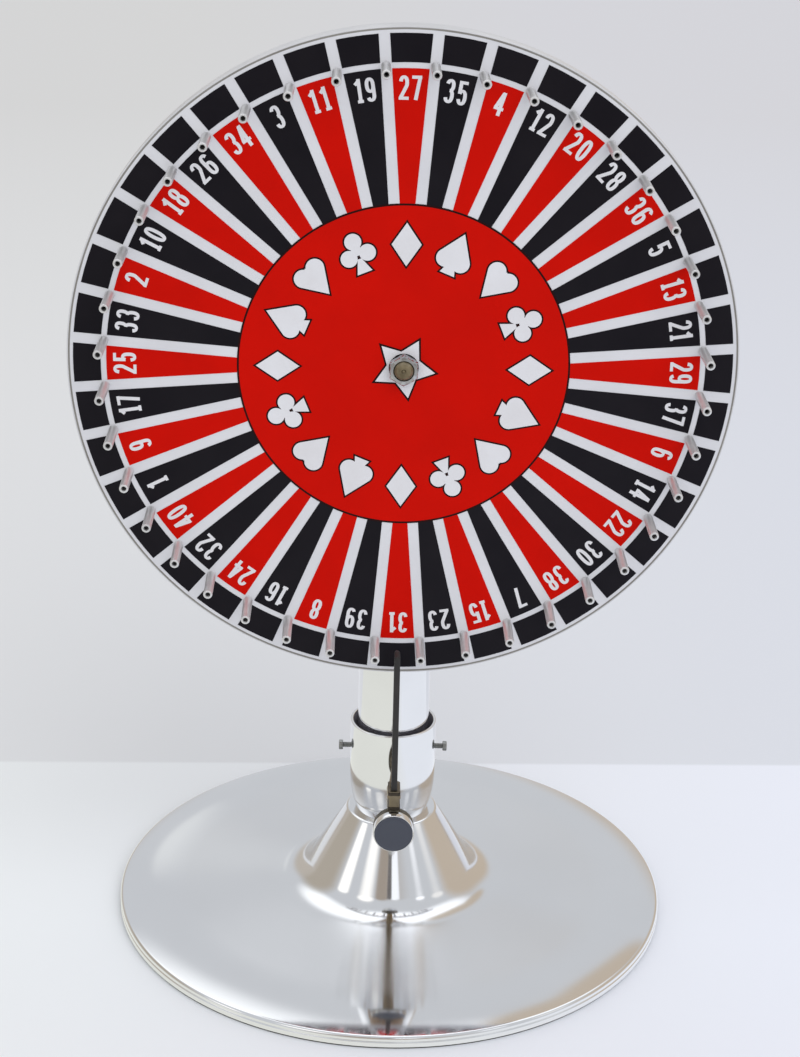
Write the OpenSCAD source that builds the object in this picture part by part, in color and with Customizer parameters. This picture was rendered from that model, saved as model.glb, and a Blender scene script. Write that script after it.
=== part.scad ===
// Tabletop carnival game wheel on a trumpet base.
// A numbered wheel turns on two ball bearings at the top of a chrome mast,
// and a leather flapper on the neck of the base ticks against its pegs.
// Millimetres, +Z up. The origin is the middle of the base where it stands on
// the table, and the wheel's face looks along -Y.

/* [Wheel] */
// Diameter of the wheel over its edge band
wheel_d = 432; // [390:1:480]
// Height of the wheel's axle above the table
hub_z = 426; // [410:1:520]
// Thickness of the wheel's board
board_t = 13; // [9:0.5:20]
// Thickness of the white face sheet on the board
face_t = 2; // [1:0.5:4]
// Radial thickness of the edge band
band_t = 1.5; // [1:0.5:3]
// Number of segments, and of pegs
segments = 40; // [24:2:44]

/* [Print] */
// Width of the white border inside the edge band
border_w = 2.6; // [1:0.1:6]
// Radial width of the black cells outside the pegs
cell_w = 17.6; // [12:0.2:22]
// Width of the white ring that the pegs stand on
ring_w = 3.6; // [2:0.2:6]
// White that shows on each side of a peg where the radial bars meet the ring
bar_side = 0.5; // [0.3:0.1:1]
// Diameter of the red disc round the hub
hub_print_d = 213; // [160:1:240]
// Radius of the star's points
star_r = 20.5; // [18:0.5:30]
// Radius of the corners between the star's points
star_notch_r = 11; // [10:0.5:15]
// How far the star is turned clockwise from upright
star_turn = 27; // [0:1:71]
// Thickness of a layer of print
film_t = 0.2; // [0.1:0.1:0.4]

/* [Pegs] */
// Diameter of a peg
peg_d = 6; // [5:0.5:7]
// Length of a peg in front of the face
peg_len = 34; // [28:1:42]
// Bore of a peg, which its screw runs into
peg_bore_d = 3.2; // [2.4:0.1:3.6]
// Rounding of a peg's free end
peg_round = 0.9; // [0.3:0.1:1]
// Depth that a peg's screw reaches into it
peg_grip = 12; // [8:1:20]
// Diameter of the screw heads behind the pegs
peg_head_d = 7; // [6:0.5:9]
// Height of the screw heads behind the pegs
peg_head_t = 2.4; // [1.5:0.1:3.5]

/* [Hub] */
// Diameter of the axle bolt
axle_d = 12; // [10:0.5:14]
// Outer diameter of the bearings
bearing_d = 28; // [26:0.5:32]
// Width of a bearing
bearing_w = 8; // [6:0.5:9]
// Number of balls in a bearing
balls = 8; // [6:1:8]
// Gap between the two bearings
bearing_gap = 9; // [6:0.5:14]
// Distance from the mast to the first bearing
axle_spacer_len = 11; // [9:0.5:18]
// Wall of the bearing housing
housing_wall = 4; // [3:0.5:7]
// Diameter of the flange that holds the housing on the board
flange_d = 74; // [68:1:96]
// Thickness of the flange
flange_t = 4; // [3:0.5:6]
// Number of screws in the flange
flange_screws = 4; // [3:1:6]
// Diameter of the flange screws
flange_screw_d = 4; // [3:0.5:5]
// Length of a flange screw inside the board
flange_screw_len = 10; // [6:0.5:12]
// Diameter of the flange screws' heads
flange_head_d = 8; // [7:0.5:9]
// Height of the flange screws' heads
flange_head_t = 2.6; // [1.5:0.1:3]
// Length of bolt that shows in front of the axle nut
bolt_end = 1.5; // [0.5:0.5:5]

/* [Mast] */
// Diameter of the mast tube
mast_d = 50.8; // [47:0.1:52]
// Wall of the mast tube
mast_wall = 2; // [1.2:0.1:4]
// Length of mast above the axle
mast_over = 32; // [26:1:60]
// Thickness of the cap on the mast
cap_t = 4; // [2:0.5:8]
// Depth of the cap's plug in the mast
cap_plug = 12; // [6:1:15]

/* [Neck collar] */
// Diameter of the collar's straight part
collar_d = 61.4; // [60:0.2:70]
// Wall of the collar's open mouth
collar_wall = 2; // [1.5:0.1:3]
// Diameter of the collar's foot on the base
collar_foot_d = 51.4; // [46:0.2:56]
// Height of the collar above the base's neck
collar_h = 70; // [64:1:90]
// Height of the tapered part of the collar
collar_taper_h = 27; // [20:1:30]
// Thickness of the collar's floor, which the mast stands on
collar_floor = 10; // [8:0.5:16]
// Depth of the socket that the mast fits closely
socket_h = 22; // [21.5:0.5:26]
// Diameter of the two clamp screws
clamp_d = 4; // [3:0.5:5.5]
// Distance of the clamp screws below the collar's rim
clamp_drop = 22; // [12:0.5:26]
// Length of screw that shows between the collar and the head
clamp_reach = 5.3; // [2:0.1:10]
// Diameter of the clamp screws' heads
clamp_head_d = 7; // [6:0.5:12]
// Height of the clamp screws' heads
clamp_head_t = 3; // [2:0.5:6]

/* [Base] */
// Diameter of the base
base_d = 397; // [370:1:430]
// Thickness of the spun steel shell
shell_t = 1.5; // [1:0.1:2]
// Height of the straight wall of the rim
rim_wall_h = 5; // [4:0.5:12]
// Radius of the rolled edge of the rim
rim_roll = 3; // [2.5:0.5:10]
// Slope of the bent edge of the dish next to the rim
rim_a = 14; // [8:0.5:18]
// Radial width of that bent edge
bend_w = 25; // [15:1:40]
// Slope of the dish inside the bent edge
dish_out_a = 3; // [3:0.5:6]
// Slope of the dish next to the flare
dish_in_a = 2; // [0.5:0.5:2.5]
// Diameter at which the dish turns up into the flare
flare_foot_d = 160; // [146:1:170]
// Radius of the flare
flare_r = 25.5; // [20:0.5:32]
// Slope of the cone's side from level
cone_a = 58.5; // [54:0.5:62]
// Diameter of the cone's top
neck_d = 67; // [62:0.5:72]
// Rounding of the cone's top edge
neck_roll = 3; // [2.5:0.1:4]
// Height of the rubber floor ring
foot_h = 1.5; // [1:0.5:4]
// Radial width of the rubber floor ring
foot_w = 9; // [6:0.5:14]
// Height of the ballast's underside above the table
ballast_z = 4; // [3:0.5:6]
// Diameter of the bolt that ties the base to the collar
tie_d = 12; // [8:0.5:14]
// Depth of the recess for the tie bolt's head
tie_recess = 12; // [11.5:0.5:20]

/* [Flapper] */
// Height of the flapper's post above the table
post_z = 102.5; // [101:0.5:108]
// Diameter of the post
post_d = 8.4; // [7:0.2:10]
// Diameter of the threads at both ends of the post
post_thread_d = 6; // [4:0.5:6]
// Depth of the post's thread in the collar
post_grip = 4; // [3:0.5:4.5]
// Thickness of the leather strip
flapper_t = 4; // [2:0.2:5]
// Width of the leather strip
flapper_w = 12; // [8:0.5:16]
// How far the strip's tip reaches past the bottom of the lowest pegs' circle
catch = 1.2; // [0.4:0.1:1.4]
// Length of strip clamped in the ferrule
root_len = 12.5; // [9:0.5:16]
// Wall of the ferrule
ferrule_wall = 2.2; // [1.5:0.1:3]
// Height of each band round the ferrule
ferrule_band_h = 2.4; // [1.5:0.1:3]
// Height of each band above the ferrule's side
ferrule_band_t = 0.5; // [0.3:0.1:1]
// Thickness of the eye that the knob clamps
eye_t = 3; // [2:0.5:5]
// Diameter of the eye that the knob clamps
eye_d = 16; // [12:0.5:20]
// Diameter of the ferrule's rivets
rivet_d = 2.4; // [2:0.1:2.8]
// Height of the rivets' heads
rivet_head_t = 0.8; // [0.5:0.1:1.2]
// Diameter of the clamp knob
knob_d = 28; // [24:0.5:30]
// Length of the clamp knob
knob_t = 13; // [10:0.5:20]
// Diameter of the knob's dark face
knob_face_d = 26.6; // [20:0.2:28]
// Height of the knob's face in front of its rim
knob_face_t = 1.2; // [0.5:0.1:3]
// Depth of the recess that the knob's face sits in
knob_recess = 1.5; // [1:0.5:3]

/* [Fits] */
// Clearance between faces that move past each other
run_gap = 0.3; // [0.25:0.05:0.5]
// Clearance round a piece that sits in a hole or socket
fit_gap = 0.05; // [0.02:0.01:0.1]

/* [Hidden] */
$fn = 96;
// How far a cutting tool runs past the face that it cuts, or a joined piece into its neighbour
past = 1;
// A hexagon's width across its flats and a bolt head's height, as shares of the thread's diameter
hex_across = 1.5;
hex_head = 0.62;

// Wheel and print radii
wheel_r = wheel_d / 2;
board_r = wheel_r - band_t;
cell_out_r = board_r - border_w;
cell_in_r = cell_out_r - cell_w;
wedge_out_r = cell_in_r - ring_w;
hub_print_r = hub_print_d / 2;
peg_circle_r = cell_in_r - ring_w / 2;
peg_screw_d = peg_bore_d - 4 * fit_gap;
bar_w = peg_d + 2 * bar_side;
step_a = 360 / segments;

// Places along the axle, counted forward from the mast's axis
mast_r = mast_d / 2;
ring_1 = mast_r + axle_spacer_len;
ring_2 = ring_1 + bearing_w + bearing_gap;
ring_end = ring_2 + bearing_w;
housing_back = ring_1 - run_gap;
board_front = ring_end + run_gap;
board_back = board_front - board_t;
face_front = board_front + face_t;
nut_clear = 1.6;
nut_back = face_front + nut_clear;
nut_t = axle_d / 2;
nut_af = axle_d * hex_across;
axle_front = nut_back + nut_t + bolt_end;
saddle_t = 3;
saddle_r = nut_af * 0.7;
axle_back = mast_r + saddle_t;
head_t = axle_d * hex_head;

// Bearing sections: the balls take 0.6 of the space between bore and rim
pitch_r = (axle_d + bearing_d) / 4;
ball_r = (bearing_d - axle_d) / 4 * 0.6;
shoulder = ball_r * 0.55;
inner_shoulder_r = pitch_r - shoulder;
outer_shoulder_r = pitch_r + shoulder;
washer_r = inner_shoulder_r - fit_gap;
washer_clear = 1;
face_hole_r = washer_r + washer_clear;
housing_r = bearing_d / 2 + housing_wall;
flange_circle_r = (flange_d / 2 + housing_r) / 2;

// Base profile: each arc is given by its centre, and the slopes are from level
base_r = base_d / 2;
neck_r = neck_d / 2;
rim_c = [base_r - rim_roll, foot_h + rim_wall_h];
bend_r = bend_w / (sin(rim_a) - sin(dish_out_a));
bend_c = rim_c + (rim_roll - bend_r) * slope_normal(rim_a);
dish_out = bend_c + bend_r * slope_normal(dish_out_a);
dish_r = (dish_out[0] - flare_foot_d / 2) / (sin(dish_out_a) - sin(dish_in_a));
dish_c = dish_out - dish_r * slope_normal(dish_out_a);
flare_c = dish_c + (dish_r + flare_r) * slope_normal(dish_in_a);
cone_foot = flare_c - flare_r * slope_normal(cone_a);
cone_top_r = neck_r - neck_roll + neck_roll * sin(cone_a);
cone_top = [cone_top_r, cone_foot[1] + (cone_foot[0] - cone_top_r) * tan(cone_a)];
neck_c = cone_top - neck_roll * slope_normal(cone_a);
neck_z = neck_c[1] + neck_roll;
tie_clear = 0.5;
tie_hole_r = tie_d / 2 + tie_clear;
ballast_skin = shell_t + run_gap;
tie_head_t = tie_d * hex_head;
tie_washer_t = 2.5;
tie_washer_r = tie_d * 1.25;
recess_r = tie_washer_r + 1;
foot_inset = 1;

// Collar heights and the arc of its taper
collar_r = collar_d / 2;
collar_top = neck_z + collar_h;
taper_top = neck_z + collar_taper_h;
taper_in = collar_r - collar_foot_d / 2;
taper_arc_r = (collar_taper_h * collar_taper_h + taper_in * taper_in) / (2 * taper_in);
mast_foot = neck_z + collar_floor;
socket_top = mast_foot + socket_h;
clamp_z = collar_top - clamp_drop;

// Flapper places: "out" is counted forward from the mast's axis, "up" from the post
flap_out = face_front + peg_len / 2;
shoulder_out = flap_out - eye_t / 2;
knob_back = shoulder_out + eye_t + run_gap;
knob_clear = 0.5;
ferrule_low = knob_d / 2 + knob_clear;
ferrule_floor = 1.7;
ferrule_up = ferrule_low + ferrule_floor + root_len;
pivot_up = ferrule_up + run_gap + flapper_t / 2;
tip_up = hub_z - peg_circle_r - peg_d / 2 + catch - post_z;
ferrule_x = flapper_t + 2 * ferrule_wall - 2 * ferrule_band_t;
ferrule_y = flapper_w + 2 * ferrule_wall;
rivet_head_d = rivet_d + 1.6;

// Unit normal of a surface that falls outward at a slope
function slope_normal(a) = [sin(a), cos(a)];
// Points along an arc, by the slope of its surface; inside is -1 for a hollow arc
function slope_arc(c, r, from, to, steps, inside = 1) =
    [for (i = [0:steps]) c + inside * r * slope_normal(from + (to - from) * i / steps)];
// The base's profile at a depth under its outer skin, from the foot of the rim to the neck
function base_skin(depth, bottom, hole_r) = concat(
    [[base_r - depth, bottom]],
    slope_arc(rim_c, rim_roll - depth, 90, rim_a, 7),
    slope_arc(bend_c, bend_r - depth, rim_a, dish_out_a, 7),
    slope_arc(dish_c, dish_r - depth, dish_out_a, dish_in_a, 4),
    slope_arc(flare_c, flare_r + depth, dish_in_a, cone_a, 9, -1),
    slope_arc(neck_c, neck_roll - depth, cone_a, 0, 5),
    [[hole_r, neck_z - depth]]);
function reversed(list) = [for (i = [len(list) - 1:-1:0]) list[i]];
// The collar's outer profile from its foot to the rim
function collar_side() = [for (i = [0:10])
    let (h = collar_taper_h * (1 - i / 10))
    [collar_r - taper_arc_r + sqrt(taper_arc_r * taper_arc_r - h * h), taper_top - h]];
// Corner points of the star, turned clockwise from upright
function star_points(r_out, r_in) = [for (i = [0:9])
    let (r = i % 2 == 0 ? r_out : r_in, a = 90 - star_turn + 36 * i) r * [cos(a), sin(a)]];

// Frames whose +Z points forward along the axle or the post, with +Y up
module on_axle() { translate([0, 0, hub_z]) rotate([90, 0, 0]) children(); }
module on_post() { translate([0, 0, post_z]) rotate([90, 0, 0]) children(); }
module at(z) { translate([0, 0, z]) children(); }
// Copies on the pegs' circle; the flapper always stands between two pegs
module each_peg() {
    for (i = [0:segments - 1])
        rotate([0, 0, -90 + (i + 0.5) * step_a]) translate([peg_circle_r, 0, 0]) children();
}
module each_flange_screw() {
    for (i = [0:flange_screws - 1])
        rotate([0, 0, 45 + i * 360 / flange_screws]) translate([flange_circle_r, 0, 0]) children();
}
module each_bearing() { for (z = [ring_1, ring_2]) at(z) children(); }
module tube(r_out, r_in, h) {
    difference() {
        cylinder(r = r_out, h = h);
        at(-past) cylinder(r = r_in, h = h + 2 * past);
    }
}
module torus(r, section_r) { rotate_extrude() translate([r, 0]) circle(r = section_r, $fn = 48); }
module hex(af, h) { cylinder(d = af / cos(30), h = h, $fn = 6); }
// The mast or collar as a cutter, in a frame that looks along the axle or post
module upright(r, h) { rotate([90, 0, 0]) translate([0, 0, -h / 2]) cylinder(r = r, h = h); }

// Part of one segment of the face, with straight bars left white on both sides
module segment(i, r_in, r_out) {
    apex = bar_w / 2 / sin(step_a / 2);
    far = r_out + past;
    spread = (far - apex) * tan(step_a / 2);
    rotate([0, 0, -90 + i * step_a])
        intersection() {
            tube(r_out, r_in, film_t);
            translate([0, 0, -past])
                linear_extrude(film_t + 2 * past) polygon([[apex, 0], [far, -spread], [far, spread]]);
        }
}

module base_shell() {
    color("gainsboro") rotate_extrude()
        polygon(concat(base_skin(0, foot_h, tie_hole_r), reversed(base_skin(shell_t, foot_h, tie_hole_r))));
}

module base_ballast() {
    color("darkgray") difference() {
        rotate_extrude()
            polygon(concat([[tie_hole_r, ballast_z]], base_skin(ballast_skin, ballast_z, tie_hole_r)));
        at(ballast_z - past) cylinder(r = recess_r, h = tie_recess + past);
    }
}

module floor_ring() {
    color("dimgray") tube(base_r - foot_inset, base_r - foot_w, foot_h);
}

module tie_bolt() {
    seat = ballast_z + tie_recess - tie_washer_t;
    color("silver") union() {
        at(seat - tie_head_t) hex(tie_d * hex_across, tie_head_t);
        at(seat - fit_gap) cylinder(d = tie_d - 2 * fit_gap, h = mast_foot - seat);
    }
}

module tie_washer() {
    color("silver") at(ballast_z + tie_recess - tie_washer_t)
        tube(tie_washer_r, tie_d / 2 + fit_gap, tie_washer_t);
}

module neck_collar() {
    color("gainsboro") difference() {
        rotate_extrude()
            polygon(concat([[0, neck_z]], collar_side(), [[collar_r, collar_top], [0, collar_top]]));
        at(mast_foot) cylinder(r = mast_r + fit_gap, h = collar_h);
        at(socket_top) cylinder(r = collar_r - collar_wall, h = collar_h);
        at(neck_z - past) cylinder(d = tie_d, h = collar_h);
        at(clamp_z) rotate([0, 90, 0]) cylinder(d = clamp_d, h = 2 * collar_d, center = true);
        on_post() cylinder(d = post_thread_d, h = collar_d);
    }
}

module clamp_screw() {
    tip = mast_r + fit_gap;
    head = collar_r + clamp_reach;
    union() {
        at(tip) cylinder(d = clamp_d - 2 * fit_gap, h = head - tip + fit_gap);
        at(head) cylinder(d = clamp_head_d, h = clamp_head_t);
    }
}

module clamp_screws() {
    color("silver") for (side = [90, -90]) at(clamp_z) rotate([0, side, 0]) clamp_screw();
}

module mast_tube() {
    color("gainsboro") difference() {
        at(mast_foot) cylinder(r = mast_r, h = hub_z + mast_over - mast_foot);
        at(mast_foot - past) cylinder(r = mast_r - mast_wall, h = hub_z + mast_over);
        on_axle() cylinder(d = axle_d + 4 * fit_gap, h = 3 * mast_d, center = true);
    }
}

module mast_cap() {
    color("black") at(hub_z + mast_over) union() {
        cylinder(r = mast_r, h = cap_t);
        at(-cap_plug) cylinder(r = mast_r - mast_wall - fit_gap, h = cap_plug + fit_gap);
    }
}

module axle_bolt() {
    color("darkkhaki") on_axle() union() {
        at(-axle_back - head_t) hex(nut_af, head_t);
        at(-axle_back - fit_gap) cylinder(d = axle_d, h = axle_front + axle_back + fit_gap);
    }
}

module saddle_washer() {
    color("silver") on_axle() difference() {
        at(-axle_back) cylinder(r = saddle_r, h = mast_r);
        upright(mast_r + fit_gap, 2 * mast_d);
        cylinder(d = axle_d + 4 * fit_gap, h = 3 * mast_d, center = true);
    }
}

module axle_spacer() {
    color("silver") on_axle() difference() {
        cylinder(r = washer_r, h = ring_1);
        upright(mast_r + fit_gap, 2 * mast_d);
        cylinder(d = axle_d + 2 * fit_gap, h = 3 * mast_d, center = true);
    }
}

module inner_rings() {
    color("silver") on_axle() each_bearing() difference() {
        tube(inner_shoulder_r, axle_d / 2 + fit_gap, bearing_w);
        at(bearing_w / 2) torus(pitch_r, ball_r + run_gap);
    }
}

module ring_spacer() {
    color("silver") on_axle() at(ring_1 + bearing_w) tube(washer_r, axle_d / 2 + fit_gap, bearing_gap);
}

module hub_washer() {
    color("silver") on_axle() at(ring_end) tube(washer_r, axle_d / 2 + fit_gap, nut_back - ring_end);
}

module axle_nut() {
    color("silver") on_axle() at(nut_back) difference() {
        hex(nut_af, nut_t);
        at(-past) cylinder(d = axle_d + 2 * fit_gap, h = nut_t + 2 * past);
    }
}

module wheel_board() {
    color("tan") on_axle() at(board_back) difference() {
        cylinder(r = board_r, h = board_t);
        at(-past) cylinder(r = housing_r + fit_gap, h = board_t + 2 * past);
        at(-past) each_peg() cylinder(d = peg_bore_d, h = board_t + 2 * past);
        at(-past) each_flange_screw() cylinder(d = flange_screw_d, h = flange_screw_len + past);
    }
}

module face_sheet() {
    color("white") on_axle() at(board_front) difference() {
        cylinder(r = board_r, h = face_t);
        at(-past) cylinder(r = face_hole_r, h = face_t + 2 * past);
        at(-past) each_peg() cylinder(d = peg_bore_d, h = face_t + 2 * past);
    }
}

module edge_band() {
    color("whitesmoke") on_axle() at(board_back) tube(wheel_r, board_r, board_t + face_t);
}

module red_panels() {
    color("firebrick") on_axle() at(face_front)
        for (i = [0:2:segments - 1]) segment(i, hub_print_r, wedge_out_r);
}

module black_panels() {
    color("black") on_axle() at(face_front)
        for (i = [1:2:segments - 1]) segment(i, hub_print_r, wedge_out_r);
}

module rim_cells() {
    color("black") on_axle() at(face_front)
        for (i = [0:segments - 1]) segment(i, cell_in_r, cell_out_r);
}

module hub_disc() {
    color("firebrick") on_axle() at(face_front) tube(hub_print_r, face_hole_r, film_t);
}

module star() {
    color("white") on_axle() at(face_front + film_t) difference() {
        linear_extrude(film_t) polygon(star_points(star_r, star_notch_r));
        at(-past) cylinder(r = face_hole_r, h = film_t + 2 * past);
    }
}

module pegs() {
    bore_r = peg_bore_d / 2;
    shaft = peg_len - peg_round;
    round_c = [peg_d / 2 - peg_round, shaft];
    tip = slope_arc(round_c, peg_round, 90, 0, 4);
    side = concat([[bore_r, 0], [peg_d / 2, 0]], tip, [[bore_r, peg_len]]);
    color("silver") on_axle() at(face_front) each_peg() rotate_extrude() polygon(side);
}

module peg_screws() {
    color("silver") on_axle() at(board_back) each_peg() union() {
        at(-peg_head_t) cylinder(d = peg_head_d, h = peg_head_t);
        at(-fit_gap) cylinder(d = peg_screw_d, h = board_t + face_t + peg_grip);
    }
}

module hub_flange() {
    shelf_r = outer_shoulder_r + fit_gap;
    bore_r = bearing_d / 2 + fit_gap;
    color("silver") on_axle() difference() {
        union() {
            at(housing_back) cylinder(r = housing_r, h = board_front - housing_back);
            at(board_back - flange_t) cylinder(d = flange_d, h = flange_t);
        }
        at(housing_back - past) cylinder(r = shelf_r, h = board_front);
        at(housing_back - past) cylinder(r = bore_r, h = bearing_w + run_gap + past);
        at(ring_2) cylinder(r = bore_r, h = board_front);
        at(board_back - flange_t - past) each_flange_screw()
            cylinder(d = flange_screw_d + 4 * fit_gap, h = flange_t + 2 * past);
    }
}

module flange_bolts() {
    color("silver") on_axle() at(board_back - flange_t) each_flange_screw() union() {
        at(-flange_head_t) cylinder(d = flange_head_d, h = flange_head_t);
        at(-fit_gap) cylinder(d = flange_screw_d - 2 * fit_gap, h = flange_t + flange_screw_len);
    }
}

module outer_rings() {
    color("silver") on_axle() each_bearing() difference() {
        tube(bearing_d / 2, outer_shoulder_r, bearing_w);
        at(bearing_w / 2) torus(pitch_r, ball_r + fit_gap);
    }
}

module bearing_balls() {
    color("gray") on_axle() each_bearing() at(bearing_w / 2)
        for (i = [0:balls - 1])
            rotate([0, 0, i * 360 / balls]) translate([pitch_r, 0, 0]) sphere(r = ball_r, $fn = 32);
}

module flapper_post() {
    thread_d = post_thread_d - 2 * fit_gap;
    stud_len = knob_back + knob_t - knob_recess - shoulder_out;
    color("peru") on_post() union() {
        difference() {
            cylinder(d = post_d, h = shoulder_out);
            upright(collar_r + fit_gap, 2 * collar_d);
        }
        at(collar_r - post_grip) cylinder(d = thread_d, h = post_grip + past);
        at(shoulder_out - past) cylinder(d = thread_d, h = stud_len);
    }
}

// A block that is centred on the strip, between two heights above the post
module strip_block(x, y, low, high) {
    translate([-x / 2, low, flap_out - y / 2]) cube([x, high - low, y]);
}

module each_rivet() {
    up = ferrule_up - root_len / 2;
    for (side = [-1, 1])
        translate([0, up, flap_out + side * flapper_w / 4]) rotate([0, 90, 0]) children();
}

module flapper_holder() {
    bands = [ferrule_low, ferrule_up - ferrule_band_h];
    band_x = ferrule_x + 2 * ferrule_band_t;
    band_y = ferrule_y + 2 * ferrule_band_t;
    slot_x = flapper_t + 2 * fit_gap;
    slot_y = flapper_w + 2 * fit_gap;
    color("peru") on_post() difference() {
        union() {
            at(shoulder_out) cylinder(d = eye_d, h = eye_t);
            strip_block(ferrule_x, eye_t, 0, ferrule_up);
            strip_block(ferrule_x, ferrule_y, ferrule_low, ferrule_up);
            for (low = bands) strip_block(band_x, band_y, low, low + ferrule_band_h);
        }
        strip_block(slot_x, slot_y, ferrule_up - root_len - fit_gap, ferrule_up + past);
        at(shoulder_out - past) cylinder(d = post_thread_d, h = eye_t + 2 * past);
        each_rivet() cylinder(d = rivet_d, h = 2 * ferrule_x, center = true);
    }
}

module holder_rivets() {
    color("goldenrod") on_post() each_rivet() union() {
        cylinder(d = rivet_d - 2 * fit_gap, h = ferrule_x + rivet_head_t, center = true);
        for (end = [-1, 1])
            at(end * (ferrule_x + rivet_head_t) / 2)
                cylinder(d = rivet_head_d, h = rivet_head_t, center = true);
    }
}

module flapper_root() {
    color("black") on_post() difference() {
        strip_block(flapper_t, flapper_w, ferrule_up - root_len, ferrule_up);
        each_rivet() cylinder(d = rivet_d, h = 2 * flapper_t, center = true);
    }
}

// The strip above the ferrule, with round ends; it bends about the lower end's axis
module flapper_blade() {
    end_r = flapper_t / 2;
    color("black") on_post() union() {
        strip_block(flapper_t, flapper_w, pivot_up, tip_up - end_r);
        for (up = [pivot_up, tip_up - end_r])
            translate([0, up, flap_out]) cylinder(r = end_r, h = flapper_w, center = true);
    }
}

module knob_body() {
    color("gainsboro") on_post() at(knob_back) difference() {
        cylinder(d = knob_d, h = knob_t);
        at(knob_t - knob_recess) cylinder(d = knob_face_d + 2 * fit_gap, h = knob_recess + past);
        at(-past) cylinder(d = post_thread_d, h = knob_t);
    }
}

module knob_face() {
    color("darkslategray") on_post() at(knob_back + knob_t - knob_recess)
        cylinder(d = knob_face_d, h = knob_recess + knob_face_t);
}

base_shell();
base_ballast();
floor_ring();
tie_bolt();
tie_washer();
neck_collar();
clamp_screws();
mast_tube();
mast_cap();
axle_bolt();
saddle_washer();
axle_spacer();
inner_rings();
ring_spacer();
hub_washer();
axle_nut();
wheel_board();
face_sheet();
edge_band();
red_panels();
black_panels();
rim_cells();
hub_disc();
star();
pegs();
peg_screws();
hub_flange();
flange_bolts();
outer_rings();
bearing_balls();
flapper_post();
flapper_holder();
holder_rivets();
flapper_root();
flapper_blade();
knob_body();
knob_face();
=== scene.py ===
"""Looks of a tabletop carnival game wheel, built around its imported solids.

Metres, +Z up, and the wheel's face looks along -Y.
"""

import math

import bmesh
import bpy
from mathutils import Matrix, Vector

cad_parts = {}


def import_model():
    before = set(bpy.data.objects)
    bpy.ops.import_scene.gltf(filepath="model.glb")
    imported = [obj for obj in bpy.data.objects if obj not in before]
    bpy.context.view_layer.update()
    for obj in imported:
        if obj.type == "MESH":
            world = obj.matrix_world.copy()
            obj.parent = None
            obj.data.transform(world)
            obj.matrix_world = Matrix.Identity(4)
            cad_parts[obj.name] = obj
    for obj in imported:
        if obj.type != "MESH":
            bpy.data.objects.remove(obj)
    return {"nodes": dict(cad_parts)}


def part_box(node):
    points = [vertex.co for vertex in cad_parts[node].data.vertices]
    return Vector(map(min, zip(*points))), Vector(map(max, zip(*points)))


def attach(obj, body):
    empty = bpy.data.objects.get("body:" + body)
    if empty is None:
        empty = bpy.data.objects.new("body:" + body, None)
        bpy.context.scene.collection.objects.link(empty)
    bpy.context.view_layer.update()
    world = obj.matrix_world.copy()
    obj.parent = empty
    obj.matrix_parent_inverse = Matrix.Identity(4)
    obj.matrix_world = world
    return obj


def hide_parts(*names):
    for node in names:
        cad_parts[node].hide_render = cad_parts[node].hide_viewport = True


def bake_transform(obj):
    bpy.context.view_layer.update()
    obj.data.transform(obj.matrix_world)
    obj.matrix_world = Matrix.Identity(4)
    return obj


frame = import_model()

scene = bpy.context.scene
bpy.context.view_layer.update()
mm = 0.001
TINY = 1e-7

# Camera: its lens in pixels of the 800 by 1057 photograph, its place, and its angles in degrees
PHOTO_WIDTH = 800
LENS_PX = 2097.2
CAMERA_AT = Vector((-0.02741, -1.35574, 0.82356))
CAMERA_YAW = 1.22
CAMERA_PITCH = 21.48
CAMERA_ROLL = -1.38
SENSOR_MM = 36

# Where the table meets the wall behind it, and how much farther off its edge runs per metre to the right
TABLE_EDGE_Y = 0.201
TABLE_EDGE_SLANT = 0.02


def extent(node, axis):
    """Lowest and highest coordinate of a CAD node along one axis (0, 1 or 2)."""
    low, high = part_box(node)
    return low[axis], high[axis]


# Wheel sizes from the frame: out is counted forward from the mast's axis
HUB_Z = sum(extent("edge_band", 2)) / 2
WHEEL_R = extent("edge_band", 2)[1] - HUB_Z
BAND_BACK = -extent("edge_band", 1)[1]
FACE_OUT = -extent("face_sheet", 1)[0]
FILM_OUT = -extent("red_panels", 1)[0]
BOARD_BACK = -extent("wheel_board", 1)[1]
BOARD_R = extent("wheel_board", 2)[1] - HUB_Z
WEDGE_R = extent("red_panels", 2)[1] - HUB_Z
HUB_PRINT_R = extent("hub_disc", 2)[1] - HUB_Z
PEG_TIP_OUT = -extent("pegs", 1)[0]
SEGMENTS = 40
STEP = math.tau / SEGMENTS
PEG_R = 3.0 * mm
PEG_CIRCLE_R = WEDGE_R + 1.8 * mm

# Stand sizes from the frame
MAST_R = extent("mast_tube", 0)[1]
MAST_FOOT_Z, MAST_TOP_Z = extent("mast_tube", 2)
CAP_TOP_Z = extent("mast_cap", 2)[1]
COLLAR_R = extent("neck_collar", 0)[1]
NECK_Z, COLLAR_TOP_Z = extent("neck_collar", 2)
BASE_R = extent("base_shell", 0)[1]
SHELL_FOOT_Z = extent("base_shell", 2)[0]
CLAMP_Z = sum(extent("clamp_screws", 2)) / 2
CLAMP_REACH = extent("clamp_screws", 0)[1]
POST_Z = sum(extent("knob_body", 2)) / 2
FLAP_OUT = -sum(extent("flapper_blade", 1)) / 2


def facing(x0, z0):
    """A frame on an axis towards the viewer: x to the right, y up, out forward of the mast's axis."""
    return lambda x, y, out: Vector((x0 + x, -out, z0 + y))


def sideways(side, y0, z0):
    """A frame on an axis to one side, whose height runs outward from the middle."""
    return lambda x, y, height: Vector((side * height, y0 + x, z0 + y))


def on_mast(x, y, z):
    """A point in the mast's frame, with z up."""
    return Vector((x, y, z))


on_axle = facing(0, HUB_Z)
on_post = facing(0, POST_Z)


# Mesh helpers


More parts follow.
